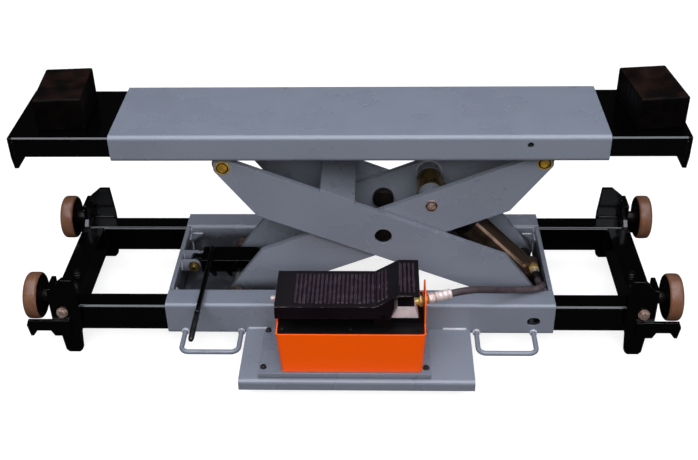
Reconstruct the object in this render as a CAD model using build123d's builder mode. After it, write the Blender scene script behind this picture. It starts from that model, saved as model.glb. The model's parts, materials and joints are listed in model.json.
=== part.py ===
from build123d import *
import os
from math import atan2, cos, hypot, radians, sin, tan

# Rolling axle jack: a scissor jacking beam that rolls on the ledges of a four-post lift.
#
# Every piece is drawn about one datum: the middle of the base frame, at the height of its rail tops. X runs
# along the beam, Y away from the pump and Z up. The finished pieces are moved together as they are saved, so
# that the part's own origin is on the floor under the middle of its box. All sizes are in millimetres.

# Fits
running_clearance = 0.05    # radial, round a pin that turns
seat_clearance = 0.02       # radial, round a pin that is driven in
slide_clearance = 1.0       # each side of a tube that slides in another
face_gap = 0.3              # between faces that pass each other

# Base frame
base_length = 708
rail_gap = 205              # clear width between the rails
rail_width = 50
rail_height = 67
rail_wall = 3
rail_corner = 7
end_plate_thick = 8
gusset_leg = 26
gusset_thick = 6
gusset_gap = 0.5            # above the pivot bosses
access_hole = (316.5, -37)
access_hole_length = 24
access_hole_height = 18

# Scissor: each arm is one plate whose line of pins is a little askew of its edges
arm_pin_span = 628.6
arm_angle = 27.14
arm_skew = 4.9
arm_width = 88
arm_thick = 12
arm_beyond_pin = 19
arm_taper_start = 226
arm_corner = 8
inner_arm_y = 54            # inner face of the inner arms
arm_side_gap = 4            # between an inner and an outer arm
pivot_x = 322.9             # fixed lower pin
pivot_z = -40.7
pivot_shaft_radius = 12
pivot_boss_wall = 5
top_pin_radius = 13
centre_pin_radius = 15.5
centre_head_radius = 20
centre_head_thick = 14
cross_plate_width = 65
cross_plate_thick = 6
cross_plate_along = 107.5     # from the centre pivot, up the arm's edge

# Rollers
roller_shaft_radius = 8
lower_roller_radius = 22
lower_roller_width = 22
upper_roller_radius = 20.2
upper_roller_width = 23.5
roller_side_gap = 3.5
roller_edge = 1.5
track_thick = 4
track_start = -345
track_end = -120

# Lift beam and its sliding extensions
beam_length = 850
beam_width = 194
beam_depth = 49.5
beam_wall = 5
beam_bend = 8
beam_slot = 84
beam_lug_thick = 10
beam_lug_radius = 19
lock_screw_hole = 11
lock_screw_x = 291
lock_screw_below_top = 17
extension_wall = 4
extension_corner = 5
extension_clearance = 0.5
extension_length = 330
left_extension_reach = 174.5    # beyond the beam's end, to the outer face of the end plate
right_extension_reach = 135.5
stop_plate_thick = 7
stop_plate_width = 182
stop_plate_square = 38
stop_plate_drop = 63
stop_plate_foot = 169

# Rubber pads, each turning on a stud
pad_length = 83.5
pad_depth = 126
pad_height = 59
pad_edge = 4
pad_stud_radius = 8
pad_stud_height = 25
left_pad_inset = 83.5       # from the outer face of the end plate to the stud
left_pad_turn = 4.2
right_pad_inset = 54
right_pad_turn = 6.5

# Hydraulic cylinder, measured along its axis from the fixed lower pin
push_from_centre = 102.3    # push shaft, from the centre pivot
push_lift = 5.4             # degrees above the line of pins
push_shaft_radius = 12
push_collar_radius = 23
foot_radius = 22
foot_width = 50
barrel_radius = 27
barrel_bore = 21
barrel_start = 12
barrel_cavity = 36
barrel_end = 170
gland_radius = 31
gland_length = 14
ram_radius = 17
piston_start = 108
piston_length = 18
eye_radius = 25
eye_width = 48
eye_flange_radius = 24
eye_face = 30               # from the push shaft to the flat that the ram presses
port_along = 18.5
port_off = 25.5
port_radius = 11
port_length = 20
port_yaw = 4
port_nut_across = 17
port_nut_length = 13
port_crimp_radius = 7.5
port_crimp_length = 28

# Carriages that carry the wheels, measured inwards from the outer face of the wheels
left_reach = 607
right_reach = 575
slide_tube_length = 412
slide_tube_height = 56.5
slide_tube_wall = 4
slide_tube_corner = 7
slide_floor_gap = 0.5       # between a slide tube and the floor of its rail
cross_tube_face = 40        # outer face of the cross tube
cross_tube_width = 42
cross_tube_wall = 6
bracket_face = 43           # outer face of the axle plates
axle_plate_thick = 8
axle_plate_top = 38
axle_plate_foot = -50
axle_plate_step = -4        # where the plate narrows, above the slide tube
axle_plate_neck = 14        # inwards of the axle, above the step
hanger_thick = 10
hanger_top = 58
guide_thick = 6
guide_top = -29.5
guide_beyond = 5
foot_depth = 108            # from the rail tops down to the floor
carriage_bolt_radius = 8
carriage_bolt_head = 6

# Wheels
wheel_radius = 43
wheel_width = 24.6
wheel_edge = 2.5
wheel_recess_radius = 29
wheel_recess_depth = 4
hub_radius = 15
hub_recess = 7.5
wheel_from_rail = 3.5       # outwards of the middle of a rail
wheel_z = 4.5
axle_radius = 8
axle_collar_radius = 12
axle_nut_across = 17

# Carry handles
handle_radius = 4.5
handle_reach = 58
handle_z = -62
handle_bend = 14
handle_spans = ((-322, -218), (214, 318))

# Safety lock
lock_x = -321.5
lock_z = -11
lock_hub_radius = 10
lock_bolt_radius = 6
lock_bolt_across = 18
lock_tongue_half = 8
lock_tongue_end = -290
lock_bar_foot = -31.9
lock_bar_end = -184
lock_notch_depth = 11
lock_notch_pitch = 31.5
lock_notch_count = 4
lock_plate_start = -306
lock_plate_thick = 5.5
lock_plate_half = 23
lock_flange_thick = 5
lug_radius = 12
lug_thick = 6
lug_inner = 12
lever_radius = 4.5
lever_x = -288
lever_back = 15
lever_beyond = 112.5        # in front of the rail

# Pump shelf and tray
shelf_left = -208
shelf_right = 202
shelf_reach = 143
shelf_thick = 6
shelf_top = -54.5
shelf_lip = 20
shelf_bend = 7
tray_left = -174
tray_right = 126
tray_reach = 67.5           # from the middle of the pump to the lip
tray_lip = 12
tray_sheet = 2
tray_bolt_radius = 5
tray_bolt_head = 4
tray_bolt_inset = 7.5
tray_bolt_front = 41.5      # from the middle of the pump
tray_bolt_back = 58.5

# Foot pump
pump_x = -11.5
pump_from_rail = 68         # middle of the pump, in front of the rail
pump_top_length = 255
pump_top_depth = 124
pump_foot_length = 246
pump_foot_depth = 104
pump_top = 39
pump_sheet = 2.5
pump_corner = 7
tongue_width = 64
tongue_corner = 18
right_tongue_top = 95
left_tongue_top = 65
cover_thick = 3
cover_screw_radius = 4
cover_screw_head = 2.5
cover_screw_pitch = 117
cover_screw_half_depth = 46.5
riser_height = 11
valve_block_left = 56
valve_block_right = 103.5
valve_block_depth = 60
valve_block_height = 26
valve_block_left_slope = 12
valve_block_right_slope = 7.5

# Treadle
treadle_left = -139.5
treadle_right = 104
treadle_front_reach = 48.5  # from the middle of the pump
treadle_back_reach = 53.5
treadle_sheet = 3
treadle_flat = 88
treadle_raised = 112
ramp_start = 29.5
ramp_end = 69.5
treadle_wall_foot = 63
treadle_wall_end = 62
rib_first = -105
rib_pitch = 7.25
rib_width = 3
rib_height = 1.6
rib_inset = 11
flat_rib_count = 19
ramp_rib_count = 3
raised_rib_count = 4
treadle_pin_x = 42.5
treadle_pin_z = 70
treadle_pin_radius = 4
treadle_pin_head = 6
ear_thick = 4
ear_inset = 6
ear_width = 30

# Pump fittings, their Y measured from the middle of the pump
inlet_off = 19.5
inlet_z = 53.3
inlet_radius = 5.5
inlet_collar_radius = 8.5
inlet_collar_length = 6
inlet_length = 8
outlet_off = 1
outlet_z = 67
outlet_yaw = 20
outlet_radius = 6.5
outlet_nut_across = 19
outlet_nut_start = -13.5    # from the outer face of the tongue, along the hose
outlet_nut_length = 6.5
swivel_start = 4
swivel_length = 11
swivel_across = 17
hose_crimp_radius = 9
hose_crimp_length = 30

# Hose: its middle points are placed by hand, its two ends follow the fittings
hose_radius = 6.5
hose_end_gap = 0.8
hose_first_run = 36
hose_last_run = 18
hose_middle = [(232, -160, 42), (272, -132, 20), (306, -119, 10.8), (328.5, -113, 9), (337.5, -98, 6.5)]

# Worked out: base frame and scissor
base_depth = rail_gap + 2 * rail_width
rail_y = (base_depth - rail_width) / 2
rail_inner_y = rail_gap / 2
gusset_foot = pivot_z + pivot_shaft_radius + pivot_boss_wall + gusset_gap
half_span = arm_pin_span / 2
centre_x = pivot_x - half_span * cos(radians(arm_angle))
centre_z = pivot_z + half_span * sin(radians(arm_angle))
slider_x = 2 * centre_x - pivot_x
top_pin_z = 2 * centre_z - pivot_z
inner_arm_out = inner_arm_y + arm_thick
outer_arm_y = inner_arm_out + arm_side_gap
outer_arm_out = outer_arm_y + arm_thick
edge_angle = radians(arm_angle - arm_skew)
pin_u = half_span * cos(radians(arm_skew))
pin_v = half_span * sin(radians(arm_skew))
push_u = push_from_centre * cos(radians(arm_skew + push_lift))
push_v = push_from_centre * sin(radians(arm_skew + push_lift))
push_x = centre_x + push_from_centre * cos(radians(arm_angle + push_lift))
push_z = centre_z + push_from_centre * sin(radians(arm_angle + push_lift))

# Worked out: rollers, beam and extensions
lower_roller_y = inner_arm_out + roller_side_gap
lower_roller_out = lower_roller_y + lower_roller_width
upper_roller_out = outer_arm_y - face_gap
upper_roller_y = upper_roller_out - upper_roller_width
track_top = pivot_z - lower_roller_radius - face_gap
beam_foot = top_pin_z + upper_roller_radius + face_gap
beam_top = beam_foot + beam_depth
extension_top = beam_top - beam_wall - extension_clearance
extension_height = beam_depth - 2 * (beam_wall + extension_clearance)
extension_width = beam_width - 2 * (beam_wall + slide_clearance)
left_extension_end = beam_length / 2 + left_extension_reach
right_extension_end = beam_length / 2 + right_extension_reach
left_pad_x = left_pad_inset - left_extension_end
right_pad_x = right_extension_end - right_pad_inset

# Worked out: cylinder, which leans from the fixed lower pin to the push shaft
stroke_length = hypot(push_x - pivot_x, push_z - pivot_z)
barrel_angle = atan2(push_z - pivot_z, pivot_x - push_x)
barrel_axis = Vector(-cos(barrel_angle), 0, sin(barrel_angle))
barrel_off = Vector(sin(barrel_angle), 0, cos(barrel_angle))
barrel_plane = Plane(origin=(pivot_x, 0, pivot_z), x_dir=barrel_off, z_dir=barrel_axis)
port_axis = Vector(sin(radians(port_yaw)), -cos(radians(port_yaw)), 0)
port_middle = barrel_plane.origin + barrel_axis * port_along + barrel_off * port_off
port_plane = Plane(origin=port_middle + port_axis * port_length, x_dir=(0, 0, 1), z_dir=port_axis)

# Worked out: carriages and pump
slide_tube_width = rail_width - 2 * (rail_wall + slide_clearance)
slide_tube_z = rail_wall + slide_floor_gap + slide_tube_height / 2 - rail_height
slide_tube_inner_y = rail_y - slide_tube_width / 2
axle_plate_inner = slide_tube_inner_y
wheel_y = rail_y + wheel_from_rail
hanger_y = rail_y + slide_tube_width / 2
guide_y = hanger_y + hanger_thick
frame_face = bracket_face + axle_plate_thick
lever_front = -base_depth / 2 - lever_beyond
pump_y = -base_depth / 2 - pump_from_rail
tray_front = pump_y - tray_reach
tray_back = -base_depth / 2 - face_gap
treadle_front = pump_y - treadle_front_reach
treadle_back = pump_y + treadle_back_reach
treadle_y = (treadle_front + treadle_back) / 2
pump_foot = shelf_top + tray_sheet
pump_left = pump_x - pump_top_length / 2
pump_right = pump_x + pump_top_length / 2
riser_top = pump_top + riser_height
inlet_plane = Plane(origin=(pump_left, pump_y + inlet_off, inlet_z), x_dir=(0, 1, 0), z_dir=(-1, 0, 0))
outlet_axis = Vector(cos(radians(outlet_yaw)), sin(radians(outlet_yaw)), 0)
outlet_plane = Plane(origin=(pump_right, pump_y + outlet_off, outlet_z), x_dir=(0, 0, 1), z_dir=outlet_axis)
crimp_start = swivel_start + swivel_length

# Worked out: the part's own origin, and the places (x, z) of the bars that run along Y
part_origin = Location((
    (left_reach - right_reach) / 2,
    (base_depth / 2 + shelf_reach - guide_y - guide_thick) / 2,
    foot_depth,
))
pivot = (pivot_x, pivot_z)
centre = (centre_x, centre_z)
push = (push_x, push_z)
lower_slider = (slider_x, pivot_z)
upper_slider = (slider_x, top_pin_z)
beam_pivot = (pivot_x, top_pin_z)
lock_pivot = (lock_x, lock_z)
treadle_pin = (treadle_pin_x, treadle_pin_z)


def save(piece, name):
    """Moves a finished piece to the part's own frame and writes it."""
    placed = piece.moved(part_origin)
    placed.label = name
    export_step(placed, f"parts/{name}.step")


def facing_front(y):
    """A plane at y whose sketch is (X, Z) and whose extrusions run towards the pump."""
    return Plane(origin=(0, y, 0), x_dir=(1, 0, 0), z_dir=(0, -1, 0))


def facing_right(x):
    """A plane at x whose sketch is (Y, Z) and whose extrusions run along +X."""
    return Plane(origin=(x, 0, 0), x_dir=(0, 1, 0), z_dir=(1, 0, 0))


def outline(*points, mode=Mode.ADD):
    """A straight-sided face in the sketch in hand."""
    with BuildLine() as sides:
        Polyline(*points, close=True)
    make_face(sides.edges(), mode=mode)


def round_bar(place, radius, start_y, end_y, mode=Mode.ADD):
    """A round bar along Y through the place (x, z), in the part in hand."""
    with BuildSketch(facing_front(max(start_y, end_y))) as section:
        with Locations(place):
            Circle(radius)
    extrude(section.sketch, amount=abs(end_y - start_y), mode=mode)


def disc(plane, start, length, radius, mode=Mode.ADD):
    """A round bar along a plane's normal, in the part in hand."""
    with BuildSketch(plane.offset(start)) as section:
        Circle(radius)
    extrude(section.sketch, amount=length, mode=mode)


def hexagon(plane, start, length, across):
    """A nut or bolt head along a plane's normal, in the part in hand."""
    with BuildSketch(plane.offset(start)) as section:
        RegularPolygon(across / 2, 6, major_radius=False)
    extrude(section.sketch, amount=length)


def edge_near(piece, axis, point):
    """The edge along an axis that lies nearest to a point."""
    return piece.edges().filter_by(axis).sort_by_distance(point)[0]


os.makedirs("parts", exist_ok=True)


# Base frame
def rail(side):
    """A hollow rail along X. The side is -1 at the front, where a slot shows the tube inside, and 1 at the rear."""
    with BuildPart() as piece:
        with BuildSketch(facing_right(-base_length / 2)):
            with Locations((side * rail_y, -rail_height / 2)):
                RectangleRounded(rail_width, rail_height, rail_corner)
                RectangleRounded(
                    rail_width - 2 * rail_wall,
                    rail_height - 2 * rail_wall,
                    rail_corner - rail_wall,
                    mode=Mode.SUBTRACT,
                )
        extrude(amount=base_length)
        if side < 0:
            with BuildSketch(facing_front(2 * rail_wall - base_depth / 2)):
                with Locations(access_hole):
                    SlotOverall(access_hole_length, access_hole_height)
            extrude(amount=2 * rail_wall, mode=Mode.SUBTRACT)
    return piece.part


save(rail(-1), "front_rail")
save(rail(1), "rear_rail")

with BuildPart() as base_end_plates:
    with BuildSketch(facing_right(base_length / 2 - end_plate_thick)):
        with Locations((0, -rail_height / 2)):
            Rectangle(2 * rail_inner_y, rail_height)
    extrude(amount=end_plate_thick)
    mirror(about=Plane.YZ)
save(base_end_plates.part, "base_end_plates")

with BuildPart() as corner_gussets:
    gusset_x = base_length / 2 - end_plate_thick
    with BuildSketch(Plane.XY.offset(gusset_foot)):
        outline(
            (gusset_x, rail_inner_y),
            (gusset_x - gusset_leg, rail_inner_y),
            (gusset_x, rail_inner_y - gusset_leg),
        )
    extrude(amount=gusset_thick)
    mirror(about=Plane.XZ)
    mirror(about=Plane.YZ)
save(corner_gussets.part, "corner_gussets")

with BuildPart() as roller_tracks:
    with BuildSketch(Plane.XY.offset(track_top - track_thick)):
        with Locations(((track_start + track_end) / 2, 0)):
            Rectangle(track_end - track_start, 2 * rail_inner_y)
    extrude(amount=track_thick)
save(roller_tracks.part, "roller_tracks")

with BuildPart() as pivot_bosses:
    round_bar(pivot, pivot_shaft_radius + pivot_boss_wall, outer_arm_out + face_gap, rail_inner_y)
    round_bar(pivot, pivot_shaft_radius + seat_clearance, outer_arm_out, rail_inner_y, mode=Mode.SUBTRACT)
    mirror(about=Plane.XZ)
save(pivot_bosses.part, "pivot_bosses")

with BuildPart() as lower_pivot_shaft:
    round_bar(pivot, pivot_shaft_radius, face_gap - rail_inner_y, rail_inner_y - face_gap)
save(lower_pivot_shaft.part, "lower_pivot_shaft")

with BuildPart() as carry_handles:
    for start_x, end_x in handle_spans:
        handle_y = -base_depth / 2
        with BuildLine() as handle_line:
            FilletPolyline(
                (start_x, handle_y, handle_z),
                (start_x, handle_y - handle_reach, handle_z),
                (end_x, handle_y - handle_reach, handle_z),
                (end_x, handle_y, handle_z),
                radius=handle_bend,
            )
        with BuildSketch(Plane(origin=(start_x, handle_y, handle_z), z_dir=(0, -1, 0))):
            Circle(handle_radius)
        sweep(path=handle_line.wires()[0])
save(carry_handles.part, "carry_handles")


# Scissor arms
def arm(plane, holes):
    """An arm drawn about its middle, u along its edges and v across, with holes given as (u, v, radius)."""
    half = arm_width / 2
    tip = pin_u + arm_beyond_pin
    upper_end = [(tip - 10, half), (tip, half - 10), (tip - 6, half - 28), (arm_taper_start, -half)]
    lower_end = [(-u, -v) for u, v in upper_end]
    with BuildPart() as piece:
        with BuildSketch(plane):
            outline(*upper_end, *lower_end)
        extrude(amount=arm_thick)
        fillet(piece.edges().filter_by(Axis.Y), arm_corner)
        for u, v, radius in holes:
            with BuildSketch(plane):
                with Locations((u, v)):
                    Circle(radius)
            extrude(amount=arm_thick, mode=Mode.SUBTRACT)
    return piece.part


def outer_plane(y):
    """The outer arms rise to the left. Extrusions run along +Y."""
    return Plane(
        origin=(centre_x, y, centre_z),
        x_dir=(-cos(edge_angle), 0, sin(edge_angle)),
        z_dir=(0, 1, 0),
    )


def inner_plane(y):
    """The inner arms rise to the right. Extrusions run along -Y."""
    return Plane(
        origin=(centre_x, y, centre_z),
        x_dir=(cos(edge_angle), 0, sin(edge_angle)),
        z_dir=(0, -1, 0),
    )


outer_holes = [
    (pin_u, pin_v, top_pin_radius + seat_clearance),
    (0, 0, centre_pin_radius + running_clearance),
    (-pin_u, -pin_v, pivot_shaft_radius + running_clearance),
]
inner_holes = [
    (pin_u, pin_v, top_pin_radius + running_clearance),
    (0, 0, centre_pin_radius + seat_clearance),
    (push_u, push_v, push_shaft_radius + seat_clearance),
    (-pin_u, -pin_v, roller_shaft_radius + seat_clearance),
]
save(arm(outer_plane(-outer_arm_out), outer_holes), "outer_arm_front")
save(arm(outer_plane(outer_arm_y), outer_holes), "outer_arm_rear")
save(arm(inner_plane(-inner_arm_y), inner_holes), "inner_arm_front")
save(arm(inner_plane(inner_arm_out), inner_holes), "inner_arm_rear")

with BuildPart() as outer_cross_plate:
    with BuildSketch(outer_plane(-outer_arm_out)):
        with Locations((cross_plate_along, (arm_width + cross_plate_thick) / 2)):
            Rectangle(cross_plate_width, cross_plate_thick)
    extrude(amount=2 * outer_arm_out)
save(outer_cross_plate.part, "outer_cross_plate")

with BuildPart() as centre_pins:
    round_bar(centre, centre_head_radius, inner_arm_y - centre_head_thick, inner_arm_y)
    round_bar(centre, centre_pin_radius, inner_arm_y, outer_arm_out - arm_thick / 3)
    mirror(about=Plane.XZ)
save(centre_pins.part, "centre_pins")

with BuildPart() as push_shaft:
    round_bar(push, push_shaft_radius, -inner_arm_out - 1, inner_arm_out + 1)
save(push_shaft.part, "push_shaft")

with BuildPart() as push_collars:
    round_bar(push, push_collar_radius, eye_width / 2 + face_gap, inner_arm_y - face_gap)
    round_bar(push, push_shaft_radius + seat_clearance, 0, inner_arm_y, mode=Mode.SUBTRACT)
    mirror(about=Plane.XZ)
save(push_collars.part, "push_collars")


# Rollers and their shafts
def roller_pair(place, radius, bore, start_y, width):
    """Two rollers on one shaft, one at each side."""
    with BuildPart() as piece:
        round_bar(place, radius, start_y, start_y + width)
        chamfer(piece.edges().filter_by(GeomType.CIRCLE), roller_edge)
        round_bar(place, bore, start_y, start_y + width, mode=Mode.SUBTRACT)
        mirror(about=Plane.XZ)
    return piece.part


lower_bore = roller_shaft_radius + running_clearance
upper_bore = top_pin_radius + running_clearance
save(
    roller_pair(lower_slider, lower_roller_radius, lower_bore, lower_roller_y, lower_roller_width),
    "lower_rollers",
)
save(
    roller_pair(upper_slider, upper_roller_radius, upper_bore, upper_roller_y, upper_roller_width),
    "upper_rollers",
)

with BuildPart() as lower_roller_shaft:
    washer_y = lower_roller_out + face_gap
    round_bar(lower_slider, roller_shaft_radius, -washer_y - 2, washer_y + 2)
    round_bar(lower_slider, roller_shaft_radius + 5, washer_y, washer_y + 2)
    round_bar(lower_slider, roller_shaft_radius + 5, -washer_y, -washer_y - 2)
save(lower_roller_shaft.part, "lower_roller_shaft")

with BuildPart() as upper_roller_shaft:
    round_bar(upper_slider, top_pin_radius, -outer_arm_out - 1, outer_arm_out + 1)
save(upper_roller_shaft.part, "upper_roller_shaft")


# Lift beam
with BuildPart() as lift_beam:
    with BuildSketch(facing_right(-beam_length / 2)):
        with Locations((0, beam_foot + beam_depth / 2)):
            RectangleRounded(beam_width, beam_depth, beam_bend)
            RectangleRounded(
                beam_width - 2 * beam_wall,
                beam_depth - 2 * beam_wall,
                beam_bend - beam_wall,
                mode=Mode.SUBTRACT,
            )
        with Locations((0, beam_foot + beam_wall / 2)):
            Rectangle(beam_slot, 2 * beam_wall, mode=Mode.SUBTRACT)
    extrude(amount=beam_length)
    round_bar(
        (lock_screw_x, beam_top - lock_screw_below_top),
        lock_screw_hole / 2,
        -beam_width / 2,
        2 * beam_wall - beam_width / 2,
        mode=Mode.SUBTRACT,
    )
save(lift_beam.part, "lift_beam")

with BuildPart() as beam_lugs:
    lug_out_y = beam_slot / 2 + beam_lug_thick
    round_bar(beam_pivot, beam_lug_radius, beam_slot / 2, lug_out_y)
    with BuildSketch(facing_front(lug_out_y)):
        with Locations((pivot_x, (top_pin_z + beam_foot) / 2)):
            Rectangle(2 * beam_lug_radius, beam_foot - top_pin_z)
    extrude(amount=beam_lug_thick)
    round_bar(beam_pivot, top_pin_radius + seat_clearance, beam_slot / 2, lug_out_y, mode=Mode.SUBTRACT)
    mirror(about=Plane.XZ)
save(beam_lugs.part, "beam_lugs")

with BuildPart() as beam_pivot_pins:
    round_bar(beam_pivot, top_pin_radius, beam_slot / 2, inner_arm_out + 1)
    mirror(about=Plane.XZ)
save(beam_pivot_pins.part, "beam_pivot_pins")


def beam_extension(side, end, pad_x):
    """A tube that slides in the beam, with an end plate and the stud of its pad. The side is -1 left, 1 right."""
    tube_end = end - stop_plate_thick
    plate_foot = extension_top - stop_plate_drop
    plate_shoulder = extension_top - stop_plate_square
    with BuildPart() as piece:
        with BuildSketch(facing_right(side * tube_end)):
            with Locations((0, extension_top - extension_height / 2)):
                RectangleRounded(extension_width, extension_height, extension_corner)
                RectangleRounded(
                    extension_width - 2 * extension_wall,
                    extension_height - 2 * extension_wall,
                    extension_corner - extension_wall,
                    mode=Mode.SUBTRACT,
                )
        extrude(amount=-side * extension_length)
        with BuildSketch(facing_right(side * tube_end)):
            outline(
                (-stop_plate_width / 2, extension_top),
                (-stop_plate_width / 2, plate_shoulder),
                (-stop_plate_foot / 2, plate_foot),
                (stop_plate_foot / 2, plate_foot),
                (stop_plate_width / 2, plate_shoulder),
                (stop_plate_width / 2, extension_top),
            )
        extrude(amount=side * stop_plate_thick)
        with BuildSketch(Plane.XY.offset(extension_top)):
            with Locations((pad_x, 0)):
                Circle(pad_stud_radius)
        extrude(amount=pad_stud_height)
    return piece.part


def pad(pad_x, turn):
    """A rubber block over the stud of an extension."""
    plane = Plane(
        origin=(pad_x, 0, extension_top),
        x_dir=(cos(radians(turn)), sin(radians(turn)), 0),
        z_dir=(0, 0, 1),
    )
    with BuildPart() as piece:
        with BuildSketch(plane):
            RectangleRounded(pad_length, pad_depth, pad_edge)
        extrude(amount=pad_height)
        chamfer(piece.faces().sort_by(Axis.Z)[-1].edges(), pad_edge / 2)
        disc(plane, 0, pad_stud_height + face_gap, pad_stud_radius + running_clearance, mode=Mode.SUBTRACT)
    return piece.part


save(beam_extension(-1, left_extension_end, left_pad_x), "left_beam_extension")
save(beam_extension(1, right_extension_end, right_pad_x), "right_beam_extension")
save(pad(left_pad_x, left_pad_turn), "left_pad")
save(pad(right_pad_x, right_pad_turn), "right_pad")


# Hydraulic cylinder
with BuildPart() as cylinder_barrel:
    round_bar(pivot, foot_radius, -foot_width / 2, foot_width / 2)
    disc(barrel_plane, barrel_start, barrel_end - barrel_start, barrel_radius)
    disc(port_plane, -port_length, port_length, port_radius)
    disc(barrel_plane, barrel_cavity, barrel_end - barrel_cavity, barrel_bore, mode=Mode.SUBTRACT)
    round_bar(pivot, pivot_shaft_radius + running_clearance, -foot_width, foot_width, mode=Mode.SUBTRACT)
save(cylinder_barrel.part, "cylinder_barrel")

with BuildPart() as cylinder_gland:
    disc(barrel_plane, barrel_end, gland_length, gland_radius)
    chamfer(cylinder_gland.edges().filter_by(GeomType.CIRCLE), roller_edge)
    disc(barrel_plane, barrel_end, gland_length, ram_radius + running_clearance, mode=Mode.SUBTRACT)
save(cylinder_gland.part, "cylinder_gland")

with BuildPart() as ram:
    disc(barrel_plane, piston_start, piston_length, barrel_bore - running_clearance)
    disc(barrel_plane, piston_start, stroke_length - eye_face - face_gap - piston_start, ram_radius)
save(ram.part, "ram")

with BuildPart() as ram_eye:
    round_bar(push, eye_radius, -eye_width / 2, eye_width / 2)
    disc(barrel_plane, stroke_length - eye_face, eye_face, eye_flange_radius)
    round_bar(push, push_shaft_radius + running_clearance, -eye_width, eye_width, mode=Mode.SUBTRACT)
save(ram_eye.part, "ram_eye")

with BuildPart() as port_fitting:
    hexagon(port_plane, 0, port_nut_length, port_nut_across)
save(port_fitting.part, "port_fitting")

with BuildPart() as port_crimp:
    disc(port_plane, port_nut_length, port_crimp_length, port_crimp_radius)
save(port_crimp.part, "port_crimp")


# Carriages
def carriage_frame(side, reach):
    """Two slide tubes joined by a cross tube. The side is -1 left, 1 right."""
    face_x = side * (reach - frame_face)
    cross_x = side * (reach - cross_tube_face - cross_tube_width / 2)
    tube_places = ((rail_y, slide_tube_z), (-rail_y, slide_tube_z))
    with BuildPart() as piece:
        with BuildSketch(facing_right(face_x)):
            with Locations(*tube_places):
                RectangleRounded(slide_tube_width, slide_tube_height, slide_tube_corner)
                Rectangle(
                    slide_tube_width - 2 * slide_tube_wall,
                    slide_tube_height - 2 * slide_tube_wall,
                    mode=Mode.SUBTRACT,
                )
        extrude(amount=-side * slide_tube_length)
        with BuildSketch(facing_front(slide_tube_inner_y)):
            with Locations((cross_x, slide_tube_z)):
                Rectangle(cross_tube_width, slide_tube_height)
        extrude(amount=2 * slide_tube_inner_y)
        with BuildSketch(facing_front(slide_tube_inner_y + slide_tube_wall)):
            with Locations((cross_x, slide_tube_z)):
                Rectangle(cross_tube_width - 2 * cross_tube_wall, slide_tube_height - 2 * cross_tube_wall)
        extrude(amount=2 * (slide_tube_inner_y + slide_tube_wall), mode=Mode.SUBTRACT)
    return piece.part


def wheel_brackets(side, reach):
    """At each end of the cross tube an axle plate, a hanger with a foot and a guide plate, welded together."""

    def placed(points):
        return [(side * (reach + x), z) for x, z in points]

    neck_y = wheel_y - axle_plate_neck
    hanger = [
        (-51, axle_plate_foot),
        (-54, -66),
        (-57, 6 - foot_depth),
        (-62, -foot_depth),
        (-82, -foot_depth),
        (-88, 6 - foot_depth),
        (-91, -66),
        (-97, -40),
        (-97, 0),
        (-92, hanger_top),
        (-72, hanger_top),
        (-51, 40),
    ]
    guide = [
        (guide_beyond, -40),
        (1, -64.5),
        (-4, -64.5),
        (-13, -52.5),
        (-38, -52.5),
        (-44, -64.5),
        (-75, -64.5),
        (-75, guide_top),
        (1, guide_top),
    ]
    with BuildPart() as piece:
        with BuildSketch(facing_right(side * (reach - frame_face))):
            outline(
                (axle_plate_inner, axle_plate_foot),
                (guide_y, axle_plate_foot),
                (guide_y, axle_plate_top),
                (neck_y, axle_plate_top),
                (neck_y, axle_plate_step + neck_y - axle_plate_inner),
                (axle_plate_inner, axle_plate_step),
            )
        extrude(amount=side * axle_plate_thick)
        with BuildSketch(facing_front(guide_y)):
            outline(*placed(hanger))
        extrude(amount=hanger_thick)
        with BuildSketch(facing_front(guide_y + guide_thick)):
            outline(*placed(guide))
        extrude(amount=guide_thick)
        with BuildSketch(facing_right(side * (reach - frame_face))):
            with Locations((wheel_y, wheel_z)):
                Circle(axle_radius + seat_clearance)
        extrude(amount=side * axle_plate_thick, mode=Mode.SUBTRACT)
        mirror(about=Plane.XZ)
    return piece.part


def axle_bolts(side, reach):
    """The stub axles with their collars and nuts, and the bolt heads of one carriage."""
    outward = Plane(origin=(side * reach, wheel_y, wheel_z), x_dir=(0, 1, 0), z_dir=(side, 0, 0))
    hanger_bolt = Plane(origin=(side * (reach - 64), guide_y, -14), x_dir=(1, 0, 0), z_dir=(0, 1, 0))
    with BuildPart() as piece:
        disc(outward, -frame_face, frame_face - 1, axle_radius)
        disc(outward, -bracket_face, bracket_face - wheel_width - face_gap, axle_collar_radius)
        hexagon(outward, face_gap - hub_recess, hub_recess - 2, axle_nut_across)
        hexagon(hanger_bolt, 0, carriage_bolt_head, 2 * carriage_bolt_radius)
        mirror(about=Plane.XZ)
        for inset, y in ((66, -50), (72, -87)):
            cap = Plane(
                origin=(side * (reach - inset), y, slide_tube_z + slide_tube_height / 2),
                z_dir=(0, 0, 1),
            )
            hexagon(cap, 0, carriage_bolt_head, 1.6 * carriage_bolt_radius)
    return piece.part


def wheel(side, reach, y):
    """A plain wheel with a hub in a shallow recess on its outer face."""
    outward = Plane(origin=(side * reach, y, wheel_z), x_dir=(0, 1, 0), z_dir=(side, 0, 0))
    with BuildPart() as piece:
        disc(outward, -wheel_width, wheel_width, wheel_radius)
        chamfer(piece.edges().filter_by(GeomType.CIRCLE), wheel_edge)
        disc(outward, -wheel_recess_depth, wheel_recess_depth, wheel_recess_radius, mode=Mode.SUBTRACT)
        disc(outward, -hub_recess, hub_recess, hub_radius, mode=Mode.SUBTRACT)
        disc(outward, -wheel_width, wheel_width, axle_radius + running_clearance, mode=Mode.SUBTRACT)
    return piece.part


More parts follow.
